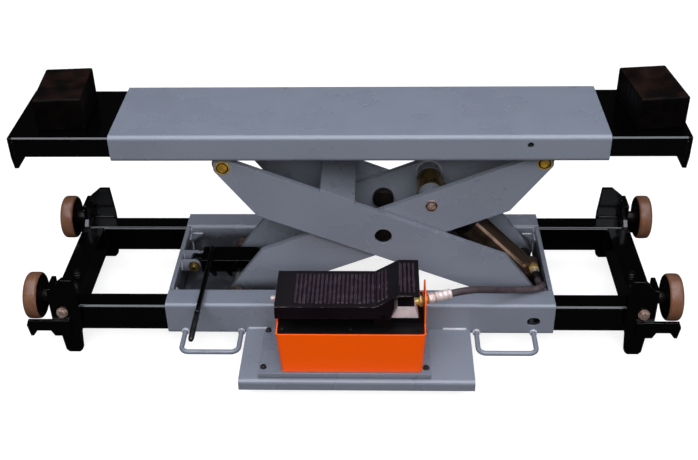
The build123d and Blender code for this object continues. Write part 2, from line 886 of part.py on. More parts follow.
for side_name, side, reach in (("left", -1, left_reach), ("right", 1, right_reach)):
    save(carriage_frame(side, reach), f"{side_name}_carriage_frame")
    save(wheel_brackets(side, reach), f"{side_name}_wheel_brackets")
    save(axle_bolts(side, reach), f"{side_name}_axle_bolts")
    save(wheel(side, reach, -wheel_y), f"front_{side_name}_wheel")
    save(wheel(side, reach, wheel_y), f"rear_{side_name}_wheel")


# Safety lock
with BuildPart() as lock_lugs:
    lug_start = end_plate_thick - base_length / 2
    round_bar(lock_pivot, lug_radius, lug_inner, lug_inner + lug_thick)
    with BuildSketch(facing_front(lug_inner + lug_thick)):
        with Locations(((lug_start + lock_x) / 2, lock_z)):
            Rectangle(lock_x - lug_start, 2 * lug_radius)
    extrude(amount=lug_thick)
    round_bar(lock_pivot, lock_bolt_radius + seat_clearance, 0, lug_inner + lug_thick, mode=Mode.SUBTRACT)
    mirror(about=Plane.XZ)
save(lock_lugs.part, "lock_lugs")

with BuildPart() as lock_bolt:
    bolt_face = lug_inner + lug_thick
    bolt_rear = Plane(origin=(lock_x, bolt_face, lock_z), x_dir=(1, 0, 0), z_dir=(0, 1, 0))
    bolt_front = Plane(origin=(lock_x, -bolt_face, lock_z), x_dir=(1, 0, 0), z_dir=(0, -1, 0))
    round_bar(lock_pivot, lock_bolt_radius, -bolt_face - 9, bolt_face + 3)
    disc(bolt_front, 0, 1.5, lug_radius - 1)
    hexagon(bolt_front, 1.5, 6, lock_bolt_across)
    hexagon(bolt_rear, 0, 6, lock_bolt_across)
save(lock_bolt.part, "lock_bolt")

with BuildPart() as lock_bar:
    first_notch = slider_x - 2 * lock_notch_pitch
    notch_top = lock_bar_foot + lock_notch_depth
    hub_half = lug_inner - face_gap
    with BuildSketch(facing_front(lock_plate_half)):
        with Locations(((lock_plate_start + lock_bar_end) / 2, lock_bar_foot / 2)):
            Rectangle(lock_bar_end - lock_plate_start, -lock_bar_foot)
        for number in range(lock_notch_count):
            notch_x = first_notch + number * lock_notch_pitch
            outline(
                (notch_x - 10.8, lock_bar_foot - 1),
                (notch_x - 10.8, notch_top),
                (notch_x + 8, notch_top),
                (notch_x + 15.6, lock_bar_foot - 1),
                mode=Mode.SUBTRACT,
            )
    extrude(amount=lock_flange_thick)
    mirror(about=Plane.XZ)
    with BuildSketch(facing_front(lock_tongue_half)):
        with Locations(((lock_x + lock_tongue_end) / 2, lock_z / 2)):
            Rectangle(lock_tongue_end - lock_x, -lock_z)
    extrude(amount=2 * lock_tongue_half)
    round_bar(lock_pivot, lock_hub_radius, -hub_half, hub_half)
    round_bar(lock_pivot, lock_bolt_radius + running_clearance, -hub_half, hub_half, mode=Mode.SUBTRACT)
    with BuildSketch(Plane.XY):
        with Locations(((lock_plate_start + lock_bar_end) / 2, 0)):
            Rectangle(lock_bar_end - lock_plate_start, 2 * lock_plate_half)
    extrude(amount=lock_plate_thick)
save(lock_bar.part, "lock_bar")

with BuildPart() as lock_lever:
    round_bar((lever_x, lock_plate_thick + lever_radius), lever_radius, lever_front, lever_back)
    chamfer(lock_lever.edges().filter_by(GeomType.CIRCLE), lever_radius / 3)
save(lock_lever.part, "lock_lever")


# Pump shelf and tray
with BuildPart() as pump_shelf:
    shelf_front = -base_depth / 2 - shelf_reach
    lip_back = shelf_front + shelf_thick
    lip_foot = shelf_top - shelf_lip
    with BuildSketch(facing_right(shelf_left)):
        outline(
            (-base_depth / 2, shelf_top),
            (shelf_front, shelf_top),
            (shelf_front, lip_foot),
            (lip_back, lip_foot),
            (lip_back, shelf_top - shelf_thick),
            (-base_depth / 2, shelf_top - shelf_thick),
        )
    extrude(amount=shelf_right - shelf_left)
    fillet(edge_near(pump_shelf, Axis.X, (0, shelf_front, shelf_top)), shelf_bend)
    fillet(edge_near(pump_shelf, Axis.X, (0, lip_back, shelf_top - shelf_thick)), shelf_bend - shelf_thick)
save(pump_shelf.part, "pump_shelf")

with BuildPart() as pump_tray:
    lip_top = shelf_top + tray_lip
    with BuildSketch(facing_right(tray_left)):
        outline(
            (tray_back, shelf_top),
            (tray_front, shelf_top),
            (tray_front, lip_top),
            (tray_front + tray_sheet, lip_top),
            (tray_front + tray_sheet, pump_foot),
            (tray_back, pump_foot),
        )
    extrude(amount=tray_right - tray_left)
save(pump_tray.part, "pump_tray")

with BuildPart() as pump_screws:
    bolt_xs = (tray_left + tray_bolt_inset, tray_right - tray_bolt_inset)
    bolt_ys = (pump_y - tray_bolt_front, pump_y + tray_bolt_back)
    with BuildSketch(Plane.XY.offset(pump_foot)):
        with Locations(*[(x, y) for x in bolt_xs for y in bolt_ys]):
            RegularPolygon(tray_bolt_radius, 6)
    extrude(amount=tray_bolt_head)
    with BuildSketch(Plane.XY.offset(pump_top)):
        with Locations((pump_x, pump_y)):
            with GridLocations(cover_screw_pitch, 2 * cover_screw_half_depth, 3, 2):
                Circle(cover_screw_radius)
    extrude(amount=cover_screw_head)
save(pump_screws.part, "pump_screws")


# Foot pump
def pump_section(z, length, depth, inset):
    """One level of the tapered pump housing, drawn in from its outer faces by the inset."""
    with BuildSketch(Plane.XY.offset(z)) as section:
        with Locations((pump_x, pump_y)):
            RectangleRounded(length - 2 * inset, depth - 2 * inset, pump_corner - inset)
    return section.sketch


def tongue(face_x, top_z):
    """A rounded tongue that stands up from an end wall of the housing, in the part in hand."""
    with BuildSketch(facing_right(face_x)) as section:
        with Locations((pump_y, top_z - tongue_width)):
            RectangleRounded(tongue_width, 2 * tongue_width, tongue_corner)
        with Locations((pump_y, pump_top - 4 - tongue_width)):
            Rectangle(2 * tongue_width, 2 * tongue_width, mode=Mode.SUBTRACT)
    extrude(section.sketch, amount=pump_sheet)


with BuildPart() as pump_housing:
    for inset, mode in ((0, Mode.ADD), (pump_sheet, Mode.SUBTRACT)):
        foot_section = pump_section(pump_foot, pump_foot_length, pump_foot_depth, inset)
        top_section = pump_section(pump_top, pump_top_length, pump_top_depth, inset)
        loft([foot_section, top_section], mode=mode)
    tongue(pump_right - pump_sheet, right_tongue_top)
    tongue(pump_left, left_tongue_top)
    disc(outlet_plane, -20, 30, outlet_radius + face_gap, mode=Mode.SUBTRACT)
    disc(inlet_plane, -2 * pump_sheet, 4 * pump_sheet, inlet_radius + seat_clearance, mode=Mode.SUBTRACT)
save(pump_housing.part, "pump_housing")

with BuildPart() as pump_cover:
    cover_length = pump_top_length - 2 * (pump_sheet + face_gap) - 0.8
    cover_depth = pump_top_depth - 2 * (pump_sheet + face_gap) - 0.8
    with BuildSketch(Plane.XY.offset(pump_top - cover_thick)):
        with Locations((pump_x, pump_y)):
            RectangleRounded(cover_length, cover_depth, pump_corner - pump_sheet)
    extrude(amount=cover_thick)
    with BuildSketch(Plane.XY.offset(pump_top)):
        with Locations(((valve_block_left + valve_block_right) / 2, pump_y)):
            RectangleRounded(valve_block_right - valve_block_left + 8, valve_block_depth + 2, 5)
    extrude(amount=riser_height)
save(pump_cover.part, "pump_cover")

with BuildPart() as valve_block:
    block_top = riser_top + valve_block_height
    with BuildSketch(facing_front(pump_y + valve_block_depth / 2)):
        outline(
            (valve_block_left, riser_top),
            (valve_block_right, riser_top),
            (valve_block_right - valve_block_right_slope, block_top),
            (valve_block_left + valve_block_left_slope, block_top),
        )
    extrude(amount=valve_block_depth)
    disc(outlet_plane, -28, 40, outlet_radius + seat_clearance, mode=Mode.SUBTRACT)
save(valve_block.part, "valve_block")

with BuildPart() as treadle_bracket:
    for ear_start in (treadle_front + ear_inset + ear_thick, treadle_back - ear_inset):
        with BuildSketch(facing_front(ear_start)):
            with Locations((treadle_pin_x, (pump_top + treadle_pin_z) / 2)):
                Rectangle(ear_width, treadle_pin_z - pump_top)
            with Locations(treadle_pin):
                Circle(2.4 * treadle_pin_radius)
        extrude(amount=ear_thick)
    round_bar(treadle_pin, treadle_pin_radius, treadle_front - 3, treadle_back + 3)
    round_bar(treadle_pin, treadle_pin_head, treadle_front - 3, treadle_front - face_gap)
    round_bar(treadle_pin, treadle_pin_head, treadle_back + face_gap, treadle_back + 3)
save(treadle_bracket.part, "treadle_bracket")

with BuildPart() as treadle:
    with BuildSketch(facing_front(treadle_back)):
        outline(
            (treadle_left, treadle_flat),
            (ramp_start, treadle_flat),
            (ramp_end, treadle_raised),
            (treadle_right, treadle_raised),
            (treadle_right, treadle_raised - treadle_sheet),
            (ramp_end + 1, treadle_raised - treadle_sheet),
            (ramp_start + 1, treadle_flat - treadle_sheet),
            (treadle_left, treadle_flat - treadle_sheet),
        )
    extrude(amount=treadle_back - treadle_front)
    ramp_slope = (treadle_raised - treadle_flat) / (ramp_end - ramp_start)
    wall_top = treadle_flat + (treadle_wall_end - ramp_start) * ramp_slope
    for wall_start in (treadle_back, treadle_front + treadle_sheet):
        with BuildSketch(facing_front(wall_start)):
            outline(
                (treadle_left, treadle_flat),
                (ramp_start, treadle_flat),
                (treadle_wall_end, wall_top),
                (treadle_wall_end, treadle_flat),
                (treadle_wall_end - 6, treadle_wall_foot),
                (treadle_left, treadle_wall_foot),
            )
        extrude(amount=treadle_sheet)
    round_bar(treadle_pin, treadle_pin_radius + running_clearance, treadle_front, treadle_back, mode=Mode.SUBTRACT)
    rib_length = treadle_back - treadle_front - 2 * rib_inset
    ramp_run = Vector(ramp_end - ramp_start, 0, treadle_raised - treadle_flat)
    ramp_up = Vector(treadle_flat - treadle_raised, 0, ramp_end - ramp_start)
    for plane, first, count in (
        (Plane((rib_first, treadle_y, treadle_flat)), 0, flat_rib_count),
        (Plane((ramp_start, treadle_y, treadle_flat), x_dir=ramp_run, z_dir=ramp_up), rib_pitch, ramp_rib_count),
        (Plane((ramp_end, treadle_y, treadle_raised)), rib_width, raised_rib_count),
    ):
        with BuildSketch(plane):
            for number in range(count):
                with Locations((first + number * rib_pitch, 0)):
                    Rectangle(rib_width, rib_length)
        extrude(amount=rib_height)
save(treadle.part, "treadle")


# Pump fittings and hose
with BuildPart() as air_inlet:
    disc(inlet_plane, -pump_sheet, pump_sheet + inlet_collar_length + inlet_length, inlet_radius)
    disc(inlet_plane, 0, inlet_collar_length, inlet_collar_radius)
save(air_inlet.part, "air_inlet")

with BuildPart() as outlet_fitting:
    disc(outlet_plane, -26, 26 + swivel_start, outlet_radius)
    hexagon(outlet_plane, outlet_nut_start, outlet_nut_length, outlet_nut_across)
save(outlet_fitting.part, "outlet_fitting")

with BuildPart() as hose_crimp:
    hexagon(outlet_plane, swivel_start, swivel_length, swivel_across)
    disc(outlet_plane, crimp_start, hose_crimp_length, hose_crimp_radius)
save(hose_crimp.part, "hose_crimp")


def bend_radii(points):
    """The widest bend at each inner point that leaves a short straight between neighbours."""
    radii = []
    for before, here, after in zip(points, points[1:], points[2:]):
        run_in = here - before
        run_out = after - here
        half_turn = radians(run_in.get_angle(run_out)) / 2
        radii.append(0.45 * min(run_in.length, run_out.length) / tan(half_turn))
    return radii


hose_start = outlet_plane.origin + outlet_axis * (crimp_start + hose_crimp_length + hose_end_gap)
hose_end = port_plane.origin + port_axis * (port_nut_length + port_crimp_length + hose_end_gap)
hose_points = [
    hose_start,
    hose_start + outlet_axis * hose_first_run,
    *[Vector(*point) for point in hose_middle],
    hose_end + port_axis * hose_last_run,
    hose_end,
]
with BuildPart() as hose:
    with BuildLine() as hose_line:
        FilletPolyline(*hose_points, radius=bend_radii(hose_points))
    with BuildSketch(Plane(origin=hose_start, z_dir=outlet_axis)):
        Circle(hose_radius)
    sweep(path=hose_line.wires()[0])
save(hose.part, "hose")
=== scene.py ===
# %% [markdown]
# # Rolling axle jack
#
# This lesson dresses a finished CAD assembly. The steel frame, scissor, beam, carriages and pump come in at
# their real size and stay where they are. Blender adds the paint, rubber, plating and oil-dark steel, and
# models the pieces whose look depends on fine form: hose and fittings, wheels, pads, bolts, pins, valve
# block, lever, tray and weld beads. All lengths are in metres, in the frame of the CAD model: X along the
# beam, Y away from the pump, Z up. Profiles and places are given in millimetres and turned into metres.

# %% Load the frame
import json
import math

import bmesh
import bpy
from mathutils import Matrix, Vector


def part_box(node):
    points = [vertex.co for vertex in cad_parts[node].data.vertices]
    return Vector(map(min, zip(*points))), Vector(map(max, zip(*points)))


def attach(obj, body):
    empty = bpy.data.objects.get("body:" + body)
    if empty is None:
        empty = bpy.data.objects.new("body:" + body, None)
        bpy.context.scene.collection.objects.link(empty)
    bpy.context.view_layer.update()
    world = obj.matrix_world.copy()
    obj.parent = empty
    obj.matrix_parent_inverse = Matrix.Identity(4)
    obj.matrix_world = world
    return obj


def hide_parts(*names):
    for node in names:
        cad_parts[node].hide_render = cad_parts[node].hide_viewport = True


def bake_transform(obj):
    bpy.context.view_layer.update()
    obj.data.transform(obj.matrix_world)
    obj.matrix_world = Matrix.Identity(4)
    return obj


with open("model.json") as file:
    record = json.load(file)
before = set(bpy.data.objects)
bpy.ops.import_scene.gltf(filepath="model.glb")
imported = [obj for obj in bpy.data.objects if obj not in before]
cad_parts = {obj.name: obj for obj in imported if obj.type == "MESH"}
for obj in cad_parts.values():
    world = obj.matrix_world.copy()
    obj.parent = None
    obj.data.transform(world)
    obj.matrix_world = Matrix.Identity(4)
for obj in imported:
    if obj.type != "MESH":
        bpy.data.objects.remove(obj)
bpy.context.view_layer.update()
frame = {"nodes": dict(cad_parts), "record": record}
mm = 0.001
datum = Vector((0.016, 0.0655, 0.108))      # middle of the base frame, at the height of its rail tops


def at(x, y, z):
    """A place given in millimetres from the base datum."""
    return datum + Vector((x, y, z)) * mm


# %% [markdown]
# ## Camera
#
# The camera is built from a place, a pitch, a yaw and a small roll, because fitting it to corners of the
# beam and the rails gives those numbers. A Track To constraint would be quicker, but it can't hold the
# roll.

# %% Camera
photo_width = 698
photo_focal = 1026.4                        # focal length in pixels of that width
camera_place = at(42.75, -1609.7, 1155.04)
camera_pitch = 0.5966                       # below the horizon, in radians like yaw and roll
camera_yaw = -0.0400
camera_roll = -0.0213

ahead = Vector((
    math.sin(camera_yaw) * math.cos(camera_pitch),
    math.cos(camera_yaw) * math.cos(camera_pitch),
    -math.sin(camera_pitch),
))
level_right = Vector((math.cos(camera_yaw), -math.sin(camera_yaw), 0))
level_up = level_right.cross(ahead)
right = level_right * math.cos(camera_roll) + level_up * math.sin(camera_roll)
up = level_up * math.cos(camera_roll) - level_right * math.sin(camera_roll)

camera = bpy.data.objects.new("camera", bpy.data.cameras.new("camera"))
bpy.context.scene.collection.objects.link(camera)
camera.data.sensor_fit = "HORIZONTAL"
camera.data.sensor_width = 36.0
camera.data.lens = camera.data.sensor_width * photo_focal / photo_width
camera.data.clip_start = 0.01
camera.matrix_world = Matrix.Translation(camera_place) @ Matrix((right, up, -ahead)).transposed().to_4x4()
bpy.context.scene.camera = camera
print("lens:", round(camera.data.lens, 2), "mm")

# %% [markdown]
# ## Node groups for shared effects
#
# Paint, plating and rubber all need the same few effects, so each is a node group that is built once. A
# group only puts out masks, heights and normals. The shader itself stays in each material, where its
# constants can be read. The small functions here add a node and join two sockets, which keeps the recipes
# below short.


# %% Node helpers
def add(tree, kind, **settings):
    """Adds a shader node and sets its properties."""
    node = tree.nodes.new("ShaderNode" + kind)
    for name, value in settings.items():
        setattr(node, name, value)
    return node


def feed(tree, value, socket):
    """Joins another socket to this one, or sets this one to a number."""
    if isinstance(value, bpy.types.NodeSocket):
        tree.links.new(value, socket)
    else:
        socket.default_value = value


def sum_up(tree, operation, first, second):
    """A Math node on two values."""
    node = add(tree, "Math", operation=operation, use_clamp=False)
    feed(tree, first, node.inputs[0])
    feed(tree, second, node.inputs[1])
    return node.outputs[0]


def ramp_up(tree, value, low, high):
    """0 at the low value, 1 at the high one, with a smooth step between."""
    node = add(tree, "MapRange", interpolation_type="SMOOTHSTEP")
    feed(tree, value, node.inputs["Value"])
    feed(tree, low, node.inputs["From Min"])
    feed(tree, high, node.inputs["From Max"])
    return node.outputs["Result"]


def noise(tree, vector, size, detail=2.0):
    """Noise whose clouds are about the given size across, in metres."""
    node = add(tree, "TexNoise")
    feed(tree, vector, node.inputs["Vector"])
    feed(tree, 1 / size, node.inputs["Scale"])
    feed(tree, detail, node.inputs["Detail"])
    return node.outputs["Fac"]


def stretched(tree, vector, scale):
    """Coordinates scaled along X, Y and Z, so that a pattern runs finer one way."""
    node = add(tree, "Mapping")
    feed(tree, vector, node.inputs["Vector"])
    node.inputs["Scale"].default_value = scale
    return node.outputs["Vector"]


# %% Mixes and groups
def blend_colour(tree, factor, first, second):
    """A colour mix by a mask. A Mix node has its colours at inputs 6 and 7, and their mix at output 2."""
    node = add(tree, "Mix", data_type="RGBA", clamp_factor=True)
    feed(tree, factor, node.inputs[0])
    for number, colour in ((6, first), (7, second)):
        is_socket = isinstance(colour, bpy.types.NodeSocket)
        feed(tree, colour if is_socket else (*colour, 1), node.inputs[number])
    return node.outputs[2]


def new_group(name, inputs, outputs):
    """An empty shader node group with number inputs, given with their values, and typed outputs."""
    tree = bpy.data.node_groups.new(name, "ShaderNodeTree")
    for label, value in inputs.items():
        socket = tree.interface.new_socket(label, in_out="INPUT", socket_type="NodeSocketFloat")
        socket.default_value = value
    for label, kind in outputs.items():
        tree.interface.new_socket(label, in_out="OUTPUT", socket_type="NodeSocket" + kind)
    return tree, tree.nodes.new("NodeGroupInput"), tree.nodes.new("NodeGroupOutput")


# %% [markdown]
# ### Worn edges
#
# No sheared plate or welded tube has a razor edge. The Bevel node rounds the shading normal within a
# radius, and the angle between that normal and the true one also says where an edge is. One group gives
# both: the normal for the light line along each edge, and a mask, broken up by noise, for paint that is
# rubbed thin there.

# %% Worn edges
edge_tree, edge_in, edge_out = new_group(
    "worn_edge",
    {"Radius": 1.2 * mm, "Rub": 0.5},
    {"Normal": "Vector", "Rubbed": "Float"},
)
edge_bevel = add(edge_tree, "Bevel", samples=4)
edge_geometry = add(edge_tree, "NewGeometry")
edge_dot = add(edge_tree, "VectorMath", operation="DOT_PRODUCT")
edge_place = add(edge_tree, "TexCoord").outputs["Object"]
feed(edge_tree, edge_in.outputs["Radius"], edge_bevel.inputs["Radius"])
feed(edge_tree, edge_bevel.outputs["Normal"], edge_dot.inputs[0])
feed(edge_tree, edge_geometry.outputs["Normal"], edge_dot.inputs[1])
edge_mask = ramp_up(edge_tree, sum_up(edge_tree, "SUBTRACT", 1.0, edge_dot.outputs["Value"]), 0.01, 0.16)
patchy = ramp_up(edge_tree, noise(edge_tree, edge_place, 14 * mm, 6.0), 0.42, 0.66)
patch_rub = sum_up(edge_tree, "MULTIPLY", patchy, edge_in.outputs["Rub"])
rubbed = sum_up(edge_tree, "MULTIPLY", edge_mask, patch_rub)
feed(edge_tree, edge_bevel.outputs["Normal"], edge_out.inputs["Normal"])
feed(edge_tree, rubbed, edge_out.inputs["Rubbed"])
print("group:", edge_tree.name)

# %% [markdown]
# ### Sprayed skin
#
# Sprayed or powder-coated paint dries with a fine orange peel, drifts a little in shade over a hand's
# width, and picks up scuffs. Three noises at three sizes give those, as a height, a cloud and a scuff mask.

# %% Sprayed skin
skin_tree, skin_in, skin_out = new_group(
    "sprayed_skin",
    {"Peel Scale": 420.0, "Cloud Scale": 7.0},
    {"Height": "Float", "Cloud": "Float", "Scuff": "Float"},
)
skin_place = add(skin_tree, "TexCoord").outputs["Object"]
peel = add(skin_tree, "TexNoise")
cloud = add(skin_tree, "TexNoise")
feed(skin_tree, skin_place, peel.inputs["Vector"])
feed(skin_tree, skin_place, cloud.inputs["Vector"])
feed(skin_tree, skin_in.outputs["Peel Scale"], peel.inputs["Scale"])
feed(skin_tree, skin_in.outputs["Cloud Scale"], cloud.inputs["Scale"])
feed(skin_tree, 1.0, peel.inputs["Detail"])
feed(skin_tree, 5.0, cloud.inputs["Detail"])
scuff_place = stretched(skin_tree, skin_place, (1, 5, 9))
scuff = ramp_up(skin_tree, noise(skin_tree, scuff_place, 60 * mm, 5.0), 0.62, 0.86)
feed(skin_tree, peel.outputs["Fac"], skin_out.inputs["Height"])
feed(skin_tree, cloud.outputs["Fac"], skin_out.inputs["Cloud"])
feed(skin_tree, scuff, skin_out.inputs["Scuff"])
print("group:", skin_tree.name)

# %% [markdown]
# ### Settled dust
#
# Workshop dust lies on faces that look up. The Z of the surface normal says which do, and noise breaks the
# layer up.

# %% Settled dust
dust_tree, dust_in, dust_out = new_group("settled_dust", {"Amount": 0.2}, {"Dust": "Float"})
dust_normal = add(dust_tree, "SeparateXYZ")
feed(dust_tree, add(dust_tree, "NewGeometry").outputs["Normal"], dust_normal.inputs[0])
upward = ramp_up(dust_tree, dust_normal.outputs["Z"], 0.55, 0.98)
dust_place = add(dust_tree, "TexCoord").outputs["Object"]
drift = ramp_up(dust_tree, noise(dust_tree, dust_place, 35 * mm, 5.0), 0.30, 0.85)
lying = sum_up(dust_tree, "MULTIPLY", upward, drift)
dust_layer = sum_up(dust_tree, "MULTIPLY", lying, dust_in.outputs["Amount"])
feed(dust_tree, dust_layer, dust_out.inputs["Dust"])
print("group:", dust_tree.name)

# %% [markdown]
# ### Painted shade and grime in the base
#
# The inside of the base frame is painted darker. This is painted shade, where the beam and the rails keep the
# light out, with some grease from the rollers and dirt from the floor. A box in Object coordinates says where
# that
# is: between the rails, and darker the further down. Noise breaks it up.

# %% Painted shade and grime in the base
# Painted shade, with some grime, inside the base frame: its box, depth and colour.
shade_and_grime_depth = 28 * mm                       # below the rail tops, where it is thickest
shade_and_grime_half_length = 346.5 * mm
shade_and_grime_half_width = 102.9 * mm
shade_and_grime_fade = 0.8 * mm
shade_and_grime_colour = (0.012, 0.012, 0.015)

shade_and_grime_tree, shade_and_grime_in, shade_and_grime_out = new_group("base_shade_and_grime", {"Amount": 0.5}, {"Shade And Grime": "Float"})
shade_and_grime_place = add(shade_and_grime_tree, "TexCoord").outputs["Object"]
shade_and_grime_split = add(shade_and_grime_tree, "SeparateXYZ")
feed(shade_and_grime_tree, shade_and_grime_place, shade_and_grime_split.inputs[0])
shade_and_grime_mask = ramp_up(shade_and_grime_tree, shade_and_grime_split.outputs["Z"], datum.z, datum.z - shade_and_grime_depth)
for axis_name, middle, reach in (("X", datum.x, shade_and_grime_half_length), ("Y", datum.y, shade_and_grime_half_width)):
    from_middle = sum_up(shade_and_grime_tree, "SUBTRACT", shade_and_grime_split.outputs[axis_name], middle)
    away = sum_up(shade_and_grime_tree, "ABSOLUTE", from_middle, 0.0)
    inside = ramp_up(shade_and_grime_tree, away, reach + shade_and_grime_fade, reach)
    shade_and_grime_mask = sum_up(shade_and_grime_tree, "MULTIPLY", shade_and_grime_mask, inside)
shade_and_grime_noise = ramp_up(shade_and_grime_tree, noise(shade_and_grime_tree, shade_and_grime_place, 30 * mm, 5.0), 0.1, 0.55)
shade_and_grime_patch = sum_up(shade_and_grime_tree, "MULTIPLY", shade_and_grime_mask, shade_and_grime_noise)
shade_and_grime_layer = sum_up(shade_and_grime_tree, "MULTIPLY", shade_and_grime_patch, shade_and_grime_in.outputs["Amount"])
feed(shade_and_grime_tree, shade_and_grime_layer, shade_and_grime_out.inputs["Shade And Grime"])
print("group:", shade_and_grime_tree.name)

# %% [markdown]
# ## Finishes
#
# Each finish is one material. A sprayed finish starts from its colour, drifts towards a second shade,
# lightens where an edge is rubbed and takes a little dust. Inside the base, the blue-grey paint is also
# painted darker, as painted shade with some grime. One function holds that recipe and a table holds each
# paint's own values, so that paints can be compared line by line. Constants go straight onto the shader's
# sockets.


# %% Start of a material
def place_group(tree, group, **values):
    """Puts a node group in a material, with its own values for this finish."""
    node = tree.nodes.new("ShaderNodeGroup")
    node.node_tree = group
    for label, value in values.items():
        node.inputs[label.replace("_", " ")].default_value = value
    return node


def new_material(name, **constants):
    """A material whose Principled shader has its constant sockets set."""
    material = bpy.data.materials.new(name)
    material.use_nodes = True
    shader = material.node_tree.nodes["Principled BSDF"]
    for label, value in constants.items():
        shader.inputs[label.replace("_", " ")].default_value = value
    return material, material.node_tree, shader


def bump(tree, height, strength, depth, normal=None):
    """A Bump node over a normal."""
    node = add(tree, "Bump")
    node.inputs["Strength"].default_value = strength
    node.inputs["Distance"].default_value = depth
    feed(tree, height, node.inputs["Height"])
    if normal is not None:
        feed(tree, normal, node.inputs["Normal"])
    return node.outputs["Normal"]


def shade_range(tree, mask, low, high):
    """A mask spread over a range of values, such as roughness from satin to dull."""
    node = add(tree, "MapRange")
    feed(tree, mask, node.inputs["Value"])
    node.inputs["To Min"].default_value = low
    node.inputs["To Max"].default_value = high
    return node.outputs["Result"]


def surface(tree, shader, colour, roughness, normal):
    """Joins what varies over a finish to its shader."""
    feed(tree, colour, shader.inputs["Base Color"])
    feed(tree, roughness, shader.inputs["Roughness"])
    feed(tree, normal, shader.inputs["Normal"])


# %% Recipe for sprayed paint
def sprayed(name, colour, drift_colour, worn_colour, dust_colour, roughness, rub, dust, peel_depth,
            edge_radius=1.1, grime=0.0, **constants):
    """Paint with orange peel, drifting shade, rubbed edges, dust, painted shade and grime. Roughness is
    (glossy, dull).
    """
    material, tree, shader = new_material(name, **constants)
    edge = place_group(tree, edge_tree, Radius=edge_radius * mm, Rub=rub)
    skin = place_group(tree, skin_tree)
    layer = place_group(tree, dust_tree, Amount=dust)
    base = blend_colour(tree, ramp_up(tree, skin.outputs["Cloud"], 0.3, 0.7), colour, drift_colour)
    scuffed = sum_up(tree, "MULTIPLY", skin.outputs["Scuff"], 0.05)
    marked = blend_colour(tree, scuffed, base, dust_colour)
    worn = blend_colour(tree, edge.outputs["Rubbed"], marked, worn_colour)
    dusty = blend_colour(tree, layer.outputs["Dust"], worn, dust_colour)
    # Painted shade, with some grime, inside the base frame.
    shade_and_grime_node = place_group(tree, shade_and_grime_tree, Amount=grime)
    shaded_and_grimy = blend_colour(tree, shade_and_grime_node.outputs["Shade And Grime"], dusty, shade_and_grime_colour)
    dull_scuff = sum_up(tree, "MULTIPLY", skin.outputs["Scuff"], 0.2)
    dull = sum_up(tree, "MAXIMUM", skin.outputs["Cloud"], dull_scuff)
    peel_normal = bump(tree, skin.outputs["Height"], 0.35, peel_depth, edge.outputs["Normal"])
    surface(tree, shader, shaded_and_grimy, shade_range(tree, dull, *roughness), peel_normal)
    return material


# %% Sprayed finishes
finishes = {}
paints = {
    "blue_grey_paint": dict(
        colour=(0.158, 0.174, 0.214), drift_colour=(0.172, 0.189, 0.232),
        worn_colour=(0.30, 0.32, 0.37), dust_colour=(0.22, 0.235, 0.275), roughness=(0.22, 0.34),
        # Of the amounts below, the one at 0.9 paints shade inside the base, with some grime.
        rub=0.4, dust=0.15, peel_depth=0.05 * mm, grime=0.9, Specular_IOR_Level=0.8,
    ),
    "satin_black": dict(
        colour=(0.0003, 0.0002, 0.0003), drift_colour=(0.0006, 0.0005, 0.0006),
        worn_colour=(0.05, 0.045, 0.043), dust_colour=(0.004, 0.0033, 0.003), roughness=(0.10, 0.18),
        rub=0.15, dust=0.03, peel_depth=0.04 * mm, Specular_IOR_Level=1.0,
    ),
    "cover_black": dict(
        colour=(0.0007, 0.0005, 0.0007), drift_colour=(0.0014, 0.0010, 0.0013),
        worn_colour=(0.04, 0.036, 0.036), dust_colour=(0.006, 0.005, 0.005), roughness=(0.45, 0.60),
        rub=0.3, dust=0.06, peel_depth=0.08 * mm, Specular_IOR_Level=0.25,
    ),
    "cast_black": dict(
        colour=(0.0034, 0.0021, 0.0031), drift_colour=(0.0062, 0.0040, 0.0056),
        worn_colour=(0.26, 0.220, 0.230), dust_colour=(0.042, 0.034, 0.038), roughness=(0.34, 0.50),
        rub=1.0, dust=0.03, peel_depth=0.12 * mm, edge_radius=1.2, Specular_IOR_Level=0.15,
    ),
    "orange_paint": dict(
        colour=(1.0, 0.108, 0.0016), drift_colour=(0.97, 0.102, 0.0014), worn_colour=(0.94, 0.25, 0.05),
        dust_colour=(0.78, 0.15, 0.03), roughness=(0.24, 0.38), rub=0.4, dust=0.05,
        peel_depth=0.04 * mm,
    ),
    "weld_paint": dict(
        colour=(0.30, 0.32, 0.37), drift_colour=(0.46, 0.48, 0.53), worn_colour=(0.70, 0.71, 0.74),
        dust_colour=(0.50, 0.51, 0.54), roughness=(0.18, 0.36), rub=0.8, dust=0.1, peel_depth=0.08 * mm,
        Specular_IOR_Level=0.8,
    ),
    "black_weld": dict(
        colour=(0.0008, 0.0007, 0.0008), drift_colour=(0.0018, 0.0015, 0.0016),
        worn_colour=(0.05, 0.045, 0.042), dust_colour=(0.006, 0.005, 0.005), roughness=(0.20, 0.36),
        rub=0.2, dust=0.06, peel_depth=0.06 * mm, Specular_IOR_Level=0.8,
    ),
}
for name, settings in paints.items():
    finishes[name] = sprayed(name, **settings)
print("sprayed finishes:", sorted(finishes))

# %% [markdown]
# ### Rib tops of the treadle
#
# The tops of the treadle's ribs are painted lighter than the black grooves. This is a painted highlight where
# the ribs catch the light, with some wear from shoes. The treadle's top runs level, up a ramp and level
# again, so its height at each X is one clamped Map Range, and what stands above that height is a rib.

# %% Rib tops of the treadle
ramp_start = at(29.5, 0, 0).x
ramp_end = at(69.5, 0, 0).x
treadle_flat = at(0, 0, 88).z
treadle_raised = at(0, 0, 112).z
# Above the foot below, the rib tops turn lighter: painted highlight with some wear.
rib_foot = 0.7 * mm                         # above the treadle's top, where the rubbed look starts
rib_crest = 1.4 * mm
# Rib tops: painted highlight, with some wear.
lit_and_worn_rib_colour = (0.034, 0.020, 0.031)
lit_and_worn_rib_amount = 0.8

